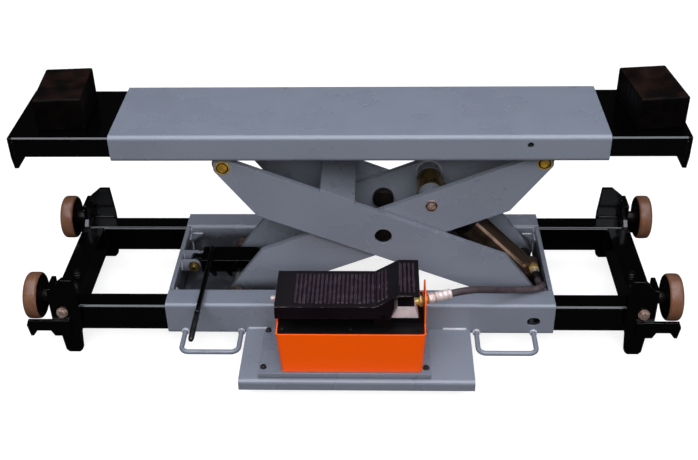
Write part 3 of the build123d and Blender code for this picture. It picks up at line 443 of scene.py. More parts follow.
treadle_tree = finishes["cast_black"].node_tree
treadle_shader = treadle_tree.nodes["Principled BSDF"]
treadle_split = add(treadle_tree, "SeparateXYZ")
feed(treadle_tree, add(treadle_tree, "TexCoord").outputs["Object"], treadle_split.inputs[0])
treadle_top = add(treadle_tree, "MapRange")
feed(treadle_tree, treadle_split.outputs["X"], treadle_top.inputs["Value"])
feed(treadle_tree, ramp_start, treadle_top.inputs["From Min"])
feed(treadle_tree, ramp_end, treadle_top.inputs["From Max"])
feed(treadle_tree, treadle_flat, treadle_top.inputs["To Min"])
feed(treadle_tree, treadle_raised, treadle_top.inputs["To Max"])
above_top = sum_up(treadle_tree, "SUBTRACT", treadle_split.outputs["Z"], treadle_top.outputs["Result"])
rib_top = ramp_up(treadle_tree, above_top, rib_foot, rib_crest)
lit_and_worn_rib_mask = sum_up(treadle_tree, "MULTIPLY", rib_top, lit_and_worn_rib_amount)
plain_colour = treadle_shader.inputs["Base Color"].links[0].from_socket
lit_and_worn_rib = blend_colour(treadle_tree, lit_and_worn_rib_mask, plain_colour, lit_and_worn_rib_colour)
feed(treadle_tree, lit_and_worn_rib, treadle_shader.inputs["Base Color"])
print("treadle ribs rubbed")

# %% [markdown]
# ### Bare and plated metals
#
# Pins, bolts, fittings and the cylinder are plated, oiled or bare. Such metal has no orange peel: its gloss
# changes in stains and in fine marks from turning or wiping. One noise gives the stains, and another,
# stretched along an axis, gives the marks. Anisotropic gloss could stand for the marks from afar, but the
# noise also gives them a slight relief close up.


# %% Recipe for metal
def metal(name, colour, stain_colour, roughness, stain_size, mark_scale, metallic):
    """Metal with stains and fine marks. The mark scale says how much finer the marks run along X, Y and Z."""
    material, tree, shader = new_material(name, Metallic=metallic)
    place = add(tree, "TexCoord").outputs["Object"]
    edge = place_group(tree, edge_tree, Radius=0.6 * mm, Rub=0.6)
    stain = ramp_up(tree, noise(tree, place, stain_size, 6.0), 0.38, 0.68)
    marks = noise(tree, stretched(tree, place, mark_scale), 3 * mm, 4.0)
    lighter = tuple(min(1.0, 1.25 * part) for part in colour)
    stained = blend_colour(tree, stain, colour, stain_colour)
    rubbed = blend_colour(tree, edge.outputs["Rubbed"], stained, lighter)
    dull = sum_up(tree, "MAXIMUM", stain, marks)
    marked_normal = bump(tree, marks, 0.25, 0.03 * mm, edge.outputs["Normal"])
    surface(tree, shader, rubbed, shade_range(tree, dull, *roughness), marked_normal)
    return material


# %% Bare and plated metals
metals = {
    "yellow_zinc": dict(
        colour=(0.70, 0.43, 0.05), stain_colour=(0.32, 0.17, 0.02), roughness=(0.20, 0.42),
        stain_size=7 * mm, mark_scale=(1, 1, 6), metallic=0.45,
    ),
    "smoked_zinc": dict(
        colour=(0.30, 0.20, 0.065), stain_colour=(0.055, 0.042, 0.030), roughness=(0.18, 0.36),
        stain_size=14 * mm, mark_scale=(1, 6, 1), metallic=0.85,
    ),
    "bright_steel": dict(
        colour=(0.52, 0.50, 0.50), stain_colour=(0.34, 0.30, 0.28), roughness=(0.20, 0.46),
        stain_size=16 * mm, mark_scale=(8, 1, 1), metallic=0.7,
    ),
    "pale_zinc": dict(
        colour=(0.68, 0.56, 0.54), stain_colour=(0.52, 0.42, 0.405), roughness=(0.26, 0.44),
        stain_size=10 * mm, mark_scale=(1, 6, 1), metallic=0.3,
    ),
    "brass": dict(
        colour=(0.72, 0.50, 0.17), stain_colour=(0.46, 0.29, 0.09), roughness=(0.16, 0.38),
        stain_size=8 * mm, mark_scale=(6, 1, 1), metallic=0.6,
    ),
    "copper_steel": dict(
        colour=(0.44, 0.30, 0.245), stain_colour=(0.16, 0.11, 0.095), roughness=(0.24, 0.50),
        stain_size=6 * mm, mark_scale=(5, 1, 1), metallic=0.4,
    ),
    "oiled_steel": dict(
        colour=(0.20, 0.135, 0.105), stain_colour=(0.055, 0.037, 0.030), roughness=(0.10, 0.17),
        stain_size=40 * mm, mark_scale=(1, 8, 1), metallic=0.85,
    ),
    "dark_steel": dict(
        colour=(0.012, 0.010, 0.010), stain_colour=(0.032, 0.025, 0.022), roughness=(0.24, 0.46),
        stain_size=25 * mm, mark_scale=(1, 8, 1), metallic=0.8,
    ),
    "cast_aluminium": dict(
        colour=(0.74, 0.62, 0.64), stain_colour=(0.58, 0.49, 0.50), roughness=(0.34, 0.58),
        stain_size=20 * mm, mark_scale=(1, 1, 1), metallic=0.25,
    ),
}
for name, settings in metals.items():
    finishes[name] = metal(name, **settings)
print("with metals:", sorted(finishes))

# %% [markdown]
# ### Rubber and nylon
#
# Pads, wheels, lower rollers and the lever's sleeve are moulded. One noise mixes two shades and also drives
# the gloss, so that patches differ in both, as where rubber has been wiped or oiled. A finer noise gives
# the grain of the skin.


# %% Recipe for a moulded skin
def moulded(name, colour, second_colour, dust_colour, roughness, cloud_size, grain_size, grain_depth, dust,
            mark_scale=(1, 1, 1), **constants):
    """Moulded rubber or nylon: mottled shade, fine grain, wiping marks and dust on top."""
    material, tree, shader = new_material(name, **constants)
    place = add(tree, "TexCoord").outputs["Object"]
    edge = place_group(tree, edge_tree, Radius=1.0 * mm, Rub=0.35)
    layer = place_group(tree, dust_tree, Amount=dust)
    mottle = ramp_up(tree, noise(tree, stretched(tree, place, mark_scale), cloud_size, 7.0), 0.36, 0.70)
    grain = noise(tree, place, grain_size, 3.0)
    base = blend_colour(tree, mottle, colour, second_colour)
    worn = blend_colour(tree, edge.outputs["Rubbed"], base, dust_colour)
    dusty = blend_colour(tree, layer.outputs["Dust"], worn, dust_colour)
    grain_normal = bump(tree, grain, 0.4, grain_depth, edge.outputs["Normal"])
    surface(tree, shader, dusty, shade_range(tree, mottle, *roughness), grain_normal)
    return material


# %% Rubber and nylon
mouldings = {
    "pad_rubber": dict(
        colour=(0.0005, 0.0003, 0.0003), second_colour=(0.0024, 0.0014, 0.0012),
        dust_colour=(0.034, 0.015, 0.011), roughness=(0.62, 0.42), cloud_size=26 * mm,
        grain_size=1.6 * mm, grain_depth=0.08 * mm, mark_scale=(1, 2.4, 1), dust=0.45,
        Specular_IOR_Level=0.08,
    ),
    "bronze_nylon": dict(
        colour=(0.185, 0.086, 0.049), second_colour=(0.080, 0.035, 0.021),
        dust_colour=(0.22, 0.12, 0.075), roughness=(0.24, 0.38), cloud_size=8 * mm, grain_size=1.2 * mm,
        grain_depth=0.03 * mm, mark_scale=(9, 1, 1), dust=0.06,
    ),
    "oiled_nylon": dict(
        colour=(0.050, 0.032, 0.024), second_colour=(0.022, 0.015, 0.012),
        dust_colour=(0.09, 0.065, 0.05), roughness=(0.24, 0.42), cloud_size=10 * mm,
        grain_size=1.2 * mm, grain_depth=0.03 * mm, dust=0.1,
    ),
    # The wheels' sides: near black, painted shade on nylon that is bronze-coloured all round.
    "wheel_centre": dict(
        colour=(0.0020, 0.0013, 0.0011), second_colour=(0.0010, 0.0007, 0.0006),
        dust_colour=(0.02, 0.012, 0.010), roughness=(0.40, 0.55), cloud_size=14 * mm,
        grain_size=1.5 * mm, grain_depth=0.05 * mm, dust=0.1,
        Specular_IOR_Level=0.4,
    ),
    "lever_sleeve": dict(
        colour=(0.0012, 0.0012, 0.0014), second_colour=(0.003, 0.0028, 0.003),
        dust_colour=(0.02, 0.018, 0.018), roughness=(0.26, 0.40), cloud_size=15 * mm,
        grain_size=1.0 * mm, grain_depth=0.05 * mm, dust=0.1,
        Specular_IOR_Level=0.8,
    ),
}
for name, settings in mouldings.items():
    finishes[name] = moulded(name, **settings)
print("finishes so far:", len(finishes))

# %% [markdown]
# ## Hose
#
# The pressure hose runs from the pump's outlet to the port at the foot of the cylinder. Its two ends are
# held, and it is short and stiff, so it lies in one long low arch and turns sharply into the port. The
# route is a NURBS line with the CAD route's points as its control points, and the tube is extruded ring by
# ring along the points of that line. Each vertex keeps its direction round the tube and its distance along
# it, which the cover's wrap pattern needs.

# %% Route of the hose
hose_route = [
    at(159.04, -203.84, 67),
    at(192.87, -191.52, 67),
    at(232, -160, 42),
    at(272, -132, 20),
    at(306, -119, 10.8),
    at(328.5, -113, 9),
    at(337.5, -98, 6.5),
    at(333.81, -79.61, -9.66),
    at(332.55, -61.65, -9.66),
]
hose_diameter = 13 * mm


def smooth_line(points, steps):
    """The points of a NURBS line that is guided by a few points."""
    curve = bpy.data.curves.new("route", "CURVE")
    curve.dimensions = "3D"
    curve.resolution_u = steps
    spline = curve.splines.new("NURBS")
    spline.points.add(len(points) - 1)
    for control, point in zip(spline.points, points):
        control.co = (*point, 1)
    spline.order_u = 3
    spline.use_endpoint_u = True
    holder = bpy.data.objects.new("route", curve)
    line = bpy.data.meshes.new_from_object(holder)
    places = [vertex.co.copy() for vertex in line.vertices]
    bpy.data.objects.remove(holder)
    bpy.data.curves.remove(curve)
    bpy.data.meshes.remove(line)
    return places


hose_line = smooth_line(hose_route, steps=14)


# %% Tube helpers
def ring_frames(line):
    """A frame at each point of a line, with Z along it, carried on without twist."""
    frames = []
    side = None
    for number, point in enumerate(line):
        before = line[max(number - 1, 0)]
        after = line[min(number + 1, len(line) - 1)]
        along = (after - before).normalized()
        if side is None:
            side = along.orthogonal()
        side = (side - along * side.dot(along)).normalized()
        turn = Matrix((side, along.cross(side), along)).transposed()
        frames.append(Matrix.Translation(point) @ turn.to_4x4())
    return frames


def tube(bm, line, radii, sides, layer=None):
    """Extrudes a ring along a line, with its own radius at each point, and closes both ends."""
    frames = ring_frames(line)
    verts = bmesh.ops.create_circle(bm, radius=radii[0], segments=sides, matrix=frames[0])["verts"]
    edges = list({edge for vert in verts for edge in vert.link_edges})
    first_edges = edges
    travelled = 0.0
    for number, here in enumerate(frames):
        if number:
            travelled += (line[number] - line[number - 1]).length
            grown = bmesh.ops.extrude_edge_only(bm, edges=edges)["geom"]
            verts = [part for part in grown if isinstance(part, bmesh.types.BMVert)]
            edges = [part for part in grown if isinstance(part, bmesh.types.BMEdge)]
            scale = Matrix.Scale(radii[number] / radii[number - 1], 4)
            bmesh.ops.transform(bm, matrix=here @ scale @ frames[number - 1].inverted(), verts=verts)
        if layer is not None:
            back = here.inverted()
            for vert in verts:
                local = back @ vert.co / radii[number]
                vert[layer] = (local.x, local.y, travelled)
    bmesh.ops.holes_fill(bm, edges=first_edges, sides=0)
    bmesh.ops.holes_fill(bm, edges=edges, sides=0)


# %% Finished pieces
def make_piece(bm, name, body, materials, stands_for=(), smooth_angle=35):
    """Finishes a mesh, gives it its materials and sets it on its body, if it has only one."""
    bmesh.ops.remove_doubles(bm, verts=bm.verts, dist=1e-6)
    bmesh.ops.recalc_face_normals(bm, faces=bm.faces)
    mesh = bpy.data.meshes.new(name)
    bm.to_mesh(mesh)
    bm.free()
    mesh.shade_smooth()
    mesh.set_sharp_from_angle(angle=math.radians(smooth_angle))
    for material in materials:
        mesh.materials.append(finishes[material])
    piece = bpy.data.objects.new(name, mesh)
    bpy.context.scene.collection.objects.link(piece)
    if body is not None:
        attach(piece, body)
    if stands_for:
        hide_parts(*stands_for)
    print(f"{name}: {len(mesh.polygons)} faces")
    return piece


# %% [markdown]
# The cover of such a hose is cured under a wrap of tape, which leaves a fine crosswise weave, with dull and
# shiny streaks along it. The weave is two sets of waves that wind round the tube in opposite directions,
# and its raised threads are painted lighter, as a painted highlight. The angle round the tube comes from
# the vertex attribute by Arctan2, so the waves meet without a seam.


# %% Hose cover
weave_round = 14.0                          # waves round the tube
weave_along = 2200.0                        # radians of wave in a metre of hose


def hose_cover():
    """Black rubber with a wrap weave that follows the hose, its raised threads painted lighter as highlight.
    """
    material, tree, shader = new_material("hose_cover", Specular_IOR_Level=0.4)
    wound = add(tree, "SeparateXYZ")
    feed(tree, add(tree, "Attribute", attribute_name="hose_frame").outputs["Vector"], wound.inputs[0])
    angle = sum_up(tree, "ARCTAN2", wound.outputs["Y"], wound.outputs["X"])
    waves = []
    for direction in (-1, 1):
        along = sum_up(tree, "MULTIPLY", wound.outputs["Z"], direction * weave_along)
        winding = sum_up(tree, "ADD", sum_up(tree, "MULTIPLY", angle, weave_round), along)
        waves.append(sum_up(tree, "SINE", winding, 0.0))
    weave = sum_up(tree, "MAXIMUM", waves[0], waves[1])
    place = add(tree, "TexCoord").outputs["Object"]
    streak = ramp_up(tree, noise(tree, place, 11 * mm, 8.0), 0.38, 0.66)
    thread = ramp_up(tree, weave, -0.4, 1.0)
    dark = blend_colour(tree, streak, (0.017, 0.012, 0.014), (0.054, 0.040, 0.046))
    # The raised threads get a painted highlight.
    thread_highlight = sum_up(tree, "MULTIPLY", thread, 0.45)
    woven_with_highlight = blend_colour(tree, thread_highlight, dark, (0.11, 0.083, 0.094))
    surface(tree, shader, woven_with_highlight, shade_range(tree, streak, 0.30, 0.50), bump(tree, thread, 0.5, 0.25 * mm))
    return material


# %% Hose
finishes["hose_cover"] = hose_cover()
hose_mesh = bmesh.new()
hose_layer = hose_mesh.verts.layers.float_vector.new("hose_frame")
tube(hose_mesh, hose_line, [hose_diameter / 2] * len(hose_line), sides=32, layer=hose_layer)
hose = make_piece(hose_mesh, "pressure_hose", None, ["hose_cover"], ["hose"])
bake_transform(hose)

# %% [markdown]
# ## Turned and hexagon shapes
#
# Wheels, pins, ferrules and nipples are all lathe work, so one helper spins a profile about an axis. Nuts
# and bolt heads start from a six-sided cone with equal radii. Each shape is made in its own small mesh, has
# its edges rounded there, and then joins the piece it belongs to. Booleans could do the same, but leave
# untidy faces to bevel.


# %% Turned and rounded shapes
def aim(place, along):
    """A frame at a place whose Z runs along a direction."""
    return Matrix.Translation(place) @ Vector(along).to_track_quat("Z", "Y").to_matrix().to_4x4()


def turned(profile, place, along, steps=48, ring=False):
    """A lathe-turned shape: (distance along, radius) pairs in millimetres, spun about an axis."""
    shape = bmesh.new()
    stand = aim(place, along)
    places = [stand @ Vector((radius * mm, 0, distance * mm)) for distance, radius in profile]
    corners = [shape.verts.new(corner) for corner in places]
    pairs = list(zip(corners, corners[1:]))
    if ring:
        pairs.append((corners[-1], corners[0]))
    sides = [shape.edges.new(pair) for pair in pairs]
    bmesh.ops.spin(
        shape, geom=corners + sides, cent=place, axis=along, angle=2 * math.pi, steps=steps, use_merge=True,
    )
    return shape


def round_edges(shape, edges, width, segments):
    """Rounds edges by a width in millimetres."""
    bmesh.ops.bevel(
        shape, geom=edges, offset=width * mm, offset_type="OFFSET", affect="EDGES", segments=segments,
        profile=0.5, clamp_overlap=True, material=-1,
    )


def soften(shape, width, segments=2, angle=30):
    """Merges doubles, turns the faces outwards and rounds the edges that are sharper than an angle."""
    bmesh.ops.remove_doubles(shape, verts=shape.verts, dist=1e-6)
    bmesh.ops.recalc_face_normals(shape, faces=shape.faces)
    sharp = [edge for edge in shape.edges if edge.calc_face_angle(0.0) > math.radians(angle)]
    round_edges(shape, sharp, width, segments)
    return shape


# %% Hexagons and blocks
def hexagon(across, thick, place, along, turn=0):
    """A nut or bolt head that stands on a place, with the corners of its outer face turned off."""
    shape = bmesh.new()
    radius = across * mm / math.sqrt(3)
    lift = Matrix.Translation((0, 0, thick * mm / 2)) @ Matrix.Rotation(math.radians(turn), 4, "Z")
    bmesh.ops.create_cone(
        shape, cap_ends=True, segments=6, radius1=radius, radius2=radius, depth=thick * mm,
        matrix=aim(place, along) @ lift,
    )
    outer = max(shape.faces, key=lambda face: face.calc_center_median().dot(Vector(along)))
    round_edges(shape, list(outer.edges), 0.05 * across, segments=2)
    return soften(shape, 0.25, segments=1, angle=40)


def block(size, place, turn=0):
    """A box with its sizes in millimetres, turned about Z."""
    shape = bmesh.new()
    sizes = Matrix.Diagonal((*[side * mm for side in size], 1))
    stand = Matrix.Translation(place) @ Matrix.Rotation(math.radians(turn), 4, "Z")
    bmesh.ops.create_cube(shape, size=1, matrix=stand @ sizes)
    return shape


# %% Axes and joining
def cross_axis(node_name):
    """The place where the axis of a CAD node that lies across the jack meets the jack's middle plane."""
    low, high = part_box(node_name)
    return Vector(((low.x + high.x) / 2, datum.y, (low.z + high.z) / 2))


def join_in(piece, shape, material=None):
    """Adds a shape to a piece, with the number of its material there."""
    if material is not None:
        for face in shape.faces:
            face.material_index = material
    part = bpy.data.meshes.new("part")
    shape.to_mesh(part)
    shape.free()
    piece.from_mesh(part)
    bpy.data.meshes.remove(part)


# %% [markdown]
# ## Wheels
#
# Each carriage rolls on two plain nylon wheels, bronze-coloured all round. Their sides are painted near
# black, as painted shade. The profile has a crowned tread, rounded shoulders, a shallow ring on the inner
# face and the hub pocket on the outer face. A spun profile keeps all of these concentric, and faces far
# from the axle get the tread's material, the others the painted shade.

# %% Wheels
wheel_width = 24.6
tread_inside = 39.6                         # faces further than this from the axle belong to the tread
wheel_profile = [
    (0, 8.05), (0, 17), (1.4, 18.4), (1.4, 35.5), (0, 37), (0, 39.8),
    (2.6, 42.5), (8, 43), (16.6, 43), (22, 42.5), (24.6, 39.8), (24.6, 30.6),
    (23.6, 29.2), (20.6, 28.6), (20.6, 16.2), (19.8, 15), (17.1, 14.6), (17.1, 8.05),
]
for wheel_name in ("front_left_wheel", "rear_left_wheel", "front_right_wheel", "rear_right_wheel"):
    low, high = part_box(wheel_name)
    outward = -1 if "left" in wheel_name else 1
    hub = (low + high) / 2 - Vector((outward * wheel_width * mm / 2, 0, 0))
    wheel = turned(wheel_profile, hub, (outward, 0, 0), steps=96, ring=True)
    soften(wheel, 0.7, segments=2, angle=24)
    for face in wheel.faces:
        middle = face.calc_center_median() - hub
        # Faces near the axle get the painted shade of the sides.
        face.material_index = 0 if math.hypot(middle.y, middle.z) > tread_inside * mm else 1
    make_piece(wheel, f"{wheel_name}_moulding", wheel_name, ["bronze_nylon", "wheel_centre"],
               [wheel_name], smooth_angle=50)

# %% [markdown]
# ## Axles and carriage bolts
#
# A stub axle stands out of each axle plate, with a spacing collar behind the wheel and a nut in the hub
# pocket. Bolts hold the hangers and close the cross tubes. All of them belong to one CAD node per carriage,
# so one piece per carriage takes their place.

# %% Washers and bolt heads
washer_thick = 1.4


def washer(radius, thick, place, along):
    """A flat washer that stands on a place."""
    shape = turned([(0, 0), (0, radius), (thick, radius), (thick, 0)], place, along, steps=32)
    return soften(shape, 0.3, segments=1)


def bolt_head(across, thick, place, along, turn=0):
    """A hexagon on a washer, as a list of shapes. The thickness is that of both."""
    on_washer = Vector(place) + Vector(along) * washer_thick * mm
    head = hexagon(across, thick - washer_thick, on_washer, along, turn)
    return [washer(0.66 * across, washer_thick, place, along), head]


# %% Axles and carriage bolts
axle_profile = [(-51, 0), (-51, 8), (-43.1, 8), (-43.1, 12), (-25, 12), (-25, 8), (-2, 8), (-1, 7), (-1, 0)]
carriages = (("left", -1, 607), ("right", 1, 575))      # with their side and the reach to the wheels' faces
axle_nut = dict(across=17, thick=5.6, turn=10)
hanger_bolt = dict(across=16, thick=7, turn=18)
cap_bolt = dict(across=12.8, thick=6, turn=8)
axle_nut_depth = 7.4                        # from the wheel's outer face in to the nut's seat
hanger_bolt_inset = 64                      # from the wheels' outer faces, like the insets of the cap bolts
hanger_bolt_z = -14
cap_bolt_places = ((66, -50), (72, -87))
wheel_y = 131
wheel_z = 4.5
hanger_y = 158.5
slide_top = -7
for side_name, side, reach in carriages:
    bolts = bmesh.new()
    outward = Vector((side, 0, 0))
    for y in (-wheel_y, wheel_y):
        axle_place = at(side * reach, y, wheel_z)
        join_in(bolts, soften(turned(axle_profile, axle_place, outward), 0.6), 0)
        nut_place = axle_place - outward * axle_nut_depth * mm
        for shape in bolt_head(place=nut_place, along=outward, **axle_nut):
            join_in(bolts, shape, 1)
    for facing in (-1, 1):
        bolt_place = at(side * (reach - hanger_bolt_inset), facing * hanger_y, hanger_bolt_z)
        for shape in bolt_head(place=bolt_place, along=(0, facing, 0), **hanger_bolt):
            join_in(bolts, shape, 1)
    for inset, y in cap_bolt_places:
        cap_place = at(side * (reach - inset), y, slide_top)
        for shape in bolt_head(place=cap_place, along=(0, 0, 1), **cap_bolt):
            join_in(bolts, shape, 2)
    make_piece(bolts, f"{side_name}_axles_and_bolts", f"{side_name}_carriage",
               ["dark_steel", "copper_steel", "black_weld"], [f"{side_name}_axle_bolts"])

# %% [markdown]
# ## Rubber pads
#
# The pads are hard rubber blocks with soft edges and a slightly crowned top. A cube has all its edges
# rounded, and its top face is inset and lifted a little.

# %% Rubber pads
pad_length = 83.5
pad_depth = 126
pad_height = 59
pad_crown = 0.6
for side_name, turn in (("left", 4.2), ("right", 6.5)):
    low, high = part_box(f"{side_name}_pad")
    middle = (low + high) / 2 - Vector((0, 0, pad_crown * mm / 2))
    pad = block((pad_length, pad_depth, pad_height - pad_crown), middle, turn)
    soften(pad, 3.5, segments=4)
    top = max(pad.faces, key=lambda face: face.calc_center_median().z)
    bmesh.ops.inset_region(pad, faces=[top], thickness=14 * mm, depth=pad_crown * mm)
    make_piece(pad, f"{side_name}_rubber_block", f"{side_name}_pad", ["pad_rubber"],
               [f"{side_name}_pad"], smooth_angle=40)

# %% [markdown]
# ## Pin ends
#
# The pins' end faces show on the arms: each has a chamfer, a dark ring groove near the rim and a small
# centre hole from the lathe. The same end profile is used for all, scaled to the pin, and its groove gets
# its own material.


# %% Profile of a pin
def pin_profile(start, end, radius):
    """A round pin between two distances, with a groove, a chamfer and a centre hole on both end faces."""
    face = [(1.2, 0), (0, 0.12 * radius), (0, 0.64 * radius), (0.8, 0.68 * radius), (0.8, 0.78 * radius),
            (0, 0.82 * radius), (0, radius - 0.9), (0.9, radius)]
    near_end = [(start + distance, r) for distance, r in face]
    far_end = [(end - distance, r) for distance, r in reversed(face)]
    return near_end + far_end


# %% Pins
groove_band = (0.65, 0.81)                  # of the pin's radius
pin_places = {
    "upper_roller_shaft": ("outer_arms", "yellow_zinc", 13, [(-83, 83)]),
    "beam_pivot_pins": ("lift_beam", "yellow_zinc", 13, [(-67, -42), (42, 67)]),
    "push_shaft": ("inner_arms", "copper_steel", 12, [(-67, 67)]),
}
for node_name, (body, finish, radius, spans) in pin_places.items():
    pins = bmesh.new()
    axis_place = cross_axis(node_name)
    for start, end in spans:
        pin = turned(pin_profile(start, end, radius), axis_place, (0, 1, 0), steps=56)
        for face in pin.faces:
            middle = face.calc_center_median() - axis_place
            in_groove = groove_band[0] < math.hypot(middle.x, middle.z) / (radius * mm) < groove_band[1]
            face.material_index = 1 if in_groove else 0
        join_in(pins, pin)
    make_piece(pins, f"{node_name}_turned", body, [finish, "dark_steel"], [node_name],
               smooth_angle=30)

# %% [markdown]
# The centre pins have a broad head inside the inner arms and end a little below the face of the outer arms.

# %% Centre pins
centre_place = cross_axis("centre_pins")
centre_profile = [
    (40, 0), (40, 17.5), (42.5, 20), (54, 20), (54, 15.5), (77, 15.5), (78, 14.5), (78, 4), (76.5, 0),
]
centre_pins = bmesh.new()
for facing in (-1, 1):
    join_in(centre_pins, soften(turned(centre_profile, centre_place, (0, facing, 0), steps=56), 0.4), 0)
make_piece(centre_pins, "centre_pins_turned", "inner_arms", ["dark_steel"], ["centre_pins"])

# %% [markdown]
# ## Hose ends and pump fittings
#
# A crimped ferrule is a turned sleeve with shallow rings where the press closed it. The outlet has a brass
# stub and a nut behind the pump's end wall, then a swivel nut and the ferrule. The port on the cylinder has
# a brass nut and a darker ferrule. The air inlet is a short barbed nipple.


# %% Ferrule
def ferrule_profile(start, end, radius, rings):
    """A sleeve with a rolled lip at each end and pressed rings between."""
    profile = [(start, 0), (start, radius - 1.2), (start + 1, radius)]
    pitch = (end - start - 4) / rings
    for number in range(rings):
        ring = start + 2 + number * pitch
        profile += [(ring + 0.25 * pitch, radius), (ring + 0.40 * pitch, radius - 0.6),
                    (ring + 0.70 * pitch, radius - 0.6), (ring + 0.85 * pitch, radius)]
    return profile + [(end - 1, radius), (end, radius - 1.2), (end, 0)]


# %% Outlet of the pump
outlet_place = at(116, -219.5, 67)
outlet_turn = math.radians(20)              # from +X towards +Y
outlet_along = Vector((math.cos(outlet_turn), math.sin(outlet_turn), 0))
outlet = bmesh.new()
stub_profile = [(-26, 0), (-26, 6.5), (-14.5, 6.5), (-14.5, 7.6), (-6, 7.6), (-6, 6.5), (4, 6.5), (4, 0)]
join_in(outlet, soften(turned(stub_profile, outlet_place, outlet_along), 0.4), 0)
join_in(outlet, hexagon(19, 6.5, outlet_place - outlet_along * 13.5 * mm, outlet_along, turn=12), 0)
make_piece(outlet, "outlet_stub_and_nut", "base", ["brass"], ["outlet_fitting"])

crimp = bmesh.new()
join_in(crimp, hexagon(17, 11, outlet_place + outlet_along * 4 * mm, outlet_along, turn=20), 0)
join_in(crimp, soften(turned([(15, 0), (15, 6.6), (18, 6.6), (18, 0)], outlet_place, outlet_along), 0.3), 1)
join_in(crimp, turned(ferrule_profile(17, 46.5, radius=9, rings=3), outlet_place, outlet_along), 0)
make_piece(crimp, "hose_swivel_and_ferrule", "base", ["pale_zinc", "brass"], ["hose_crimp"])

# %% Port of the cylinder
port_place = at(329.64, -19.95, -9.66)
port_turn = math.radians(4)                 # from -Y towards +X
port_along = Vector((math.sin(port_turn), -math.cos(port_turn), 0))
port_nut = bmesh.new()
join_in(port_nut, hexagon(17, 13, port_place, port_along, turn=25), 0)
make_piece(port_nut, "port_nut", "cylinder", ["brass"], ["port_fitting"])
port_sleeve = bmesh.new()
join_in(port_sleeve, turned(ferrule_profile(13, 22, radius=7.2, rings=1), port_place, port_along), 0)
join_in(port_sleeve, turned(ferrule_profile(21.5, 42.5, radius=7.5, rings=3), port_place, port_along), 1)
make_piece(port_sleeve, "port_ferrule", "cylinder", ["bright_steel", "dark_steel"],
           ["port_crimp"])

# %% Air inlet
inlet_place = at(-139, -201, 53.3)
inlet_profile = [
    (-2.5, 0), (-2.5, 5.5), (6, 5.5), (6, 5.0), (8, 5.0), (8, 5.5), (10.5, 4.6),
    (10.5, 5.4), (13.4, 4.4), (14, 3.6), (14, 2.6), (9, 2.6), (9, 0),
]
inlet = bmesh.new()
join_in(inlet, soften(turned(inlet_profile, inlet_place, (-1, 0, 0)), 0.2), 0)
join_in(inlet, hexagon(15, 6, inlet_place, (-1, 0, 0), turn=15), 0)
make_piece(inlet, "air_inlet_nipple", "base", ["pale_zinc"], ["air_inlet"])

# %% [markdown]
# ## Valve block
#
# The block under the raised end of the treadle is cast light alloy with milled sloping sides. Its top is
# given the black finish, as painted shade under the treadle. It is a cube whose top corners are drawn in,
# and the faces that look up get the black finish.

# %% Valve block
low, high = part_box("valve_block")
valve_size = (high - low) / mm
valve = block(valve_size, (low + high) / 2)
left_slope = 12
right_slope = 7.5
for corner in valve.verts:
    if corner.co.z > low.z + 1 * mm:
        corner.co.x += left_slope * mm if corner.co.x < (low.x + high.x) / 2 else -right_slope * mm
soften(valve, 1.5, segments=3)
for face in valve.faces:
    # Faces that look up: black finish as painted shade under the treadle.
    face.material_index = 1 if face.normal.z > 0.6 else 0
make_piece(valve, "valve_block_casting", "base", ["cast_aluminium", "cast_black"],
           ["valve_block"])

# %% [markdown]
# ## Lock bolt and release lever
#
# The lock bar turns on a plated bolt with a washer under its head. The release lever is a painted rod whose
# outer end is sheathed in a plastic sleeve, a little thicker than the rod, with a lip and a rounded tip.

# %% Lock bolt
lock_x = -321.5
lock_z = -11
lock_bolt = bmesh.new()
shank_profile = [(-20.5, 0), (-20.5, 5), (-19.5, 6), (26, 6), (27, 5), (27, 0)]
join_in(lock_bolt, turned(shank_profile, at(lock_x, 0, lock_z), (0, -1, 0)), 0)
join_in(lock_bolt, washer(11, 1.5, at(lock_x, -18, lock_z), (0, -1, 0)), 0)
join_in(lock_bolt, hexagon(18, 6, at(lock_x, -19.5, lock_z), (0, -1, 0), turn=8), 0)
join_in(lock_bolt, hexagon(18, 6, at(lock_x, 18, lock_z), (0, 1, 0), turn=20), 0)
make_piece(lock_bolt, "lock_bolt_and_nut", "base", ["smoked_zinc"], ["lock_bolt"])

# %% Release lever
lever_place = at(-288, 0, 10)
lever = bmesh.new()
rod_profile = [(-15, 0), (-15, 3.2), (-13.8, 4.5), (190, 4.5), (190, 0)]
sleeve_profile = [
    (186, 0), (186, 5.0), (186.8, 5.6), (189, 5.6), (190, 5.1),
    (258, 5.1), (262, 4.4), (264.5, 2.6), (265, 0),
]
join_in(lever, soften(turned(rod_profile, lever_place, (0, -1, 0), steps=32), 0.3), 0)
join_in(lever, soften(turned(sleeve_profile, lever_place, (0, -1, 0), steps=32), 0.3, angle=24), 1)
make_piece(lever, "lever_rod_and_sleeve", "lock", ["satin_black", "lever_sleeve"],
           ["lock_lever"])

# %% [markdown]
# ## Pump screws
#
# Four hexagon bolts hold the tray to the shelf, and six round-headed socket screws hold the pump's cover.

# %% Pump screws
tray_bolt = dict(across=8.6, thick=4.6, turn=20)
tray_seat = -52.5
cover_top = 39
pump_screws = bmesh.new()
for x in (-166.5, 118.5):
    for y in (-262, -162):
        for shape in bolt_head(place=at(x, y, tray_seat), along=(0, 0, 1), **tray_bolt):
            join_in(pump_screws, shape, 0)
socket_profile = [(0, 0), (0, 4), (1.4, 4), (2.5, 3), (2.5, 1.9), (1.1, 1.9), (1.1, 0)]
for x in (-128.5, -11.5, 105.5):
    for y in (-267, -174):
        screw = turned(socket_profile, at(x, y, cover_top), (0, 0, 1), steps=24)
        join_in(pump_screws, soften(screw, 0.25), 1)
make_piece(pump_screws, "tray_bolts_and_cover_screws", "base", ["black_weld", "dark_steel"],
           ["pump_screws"])

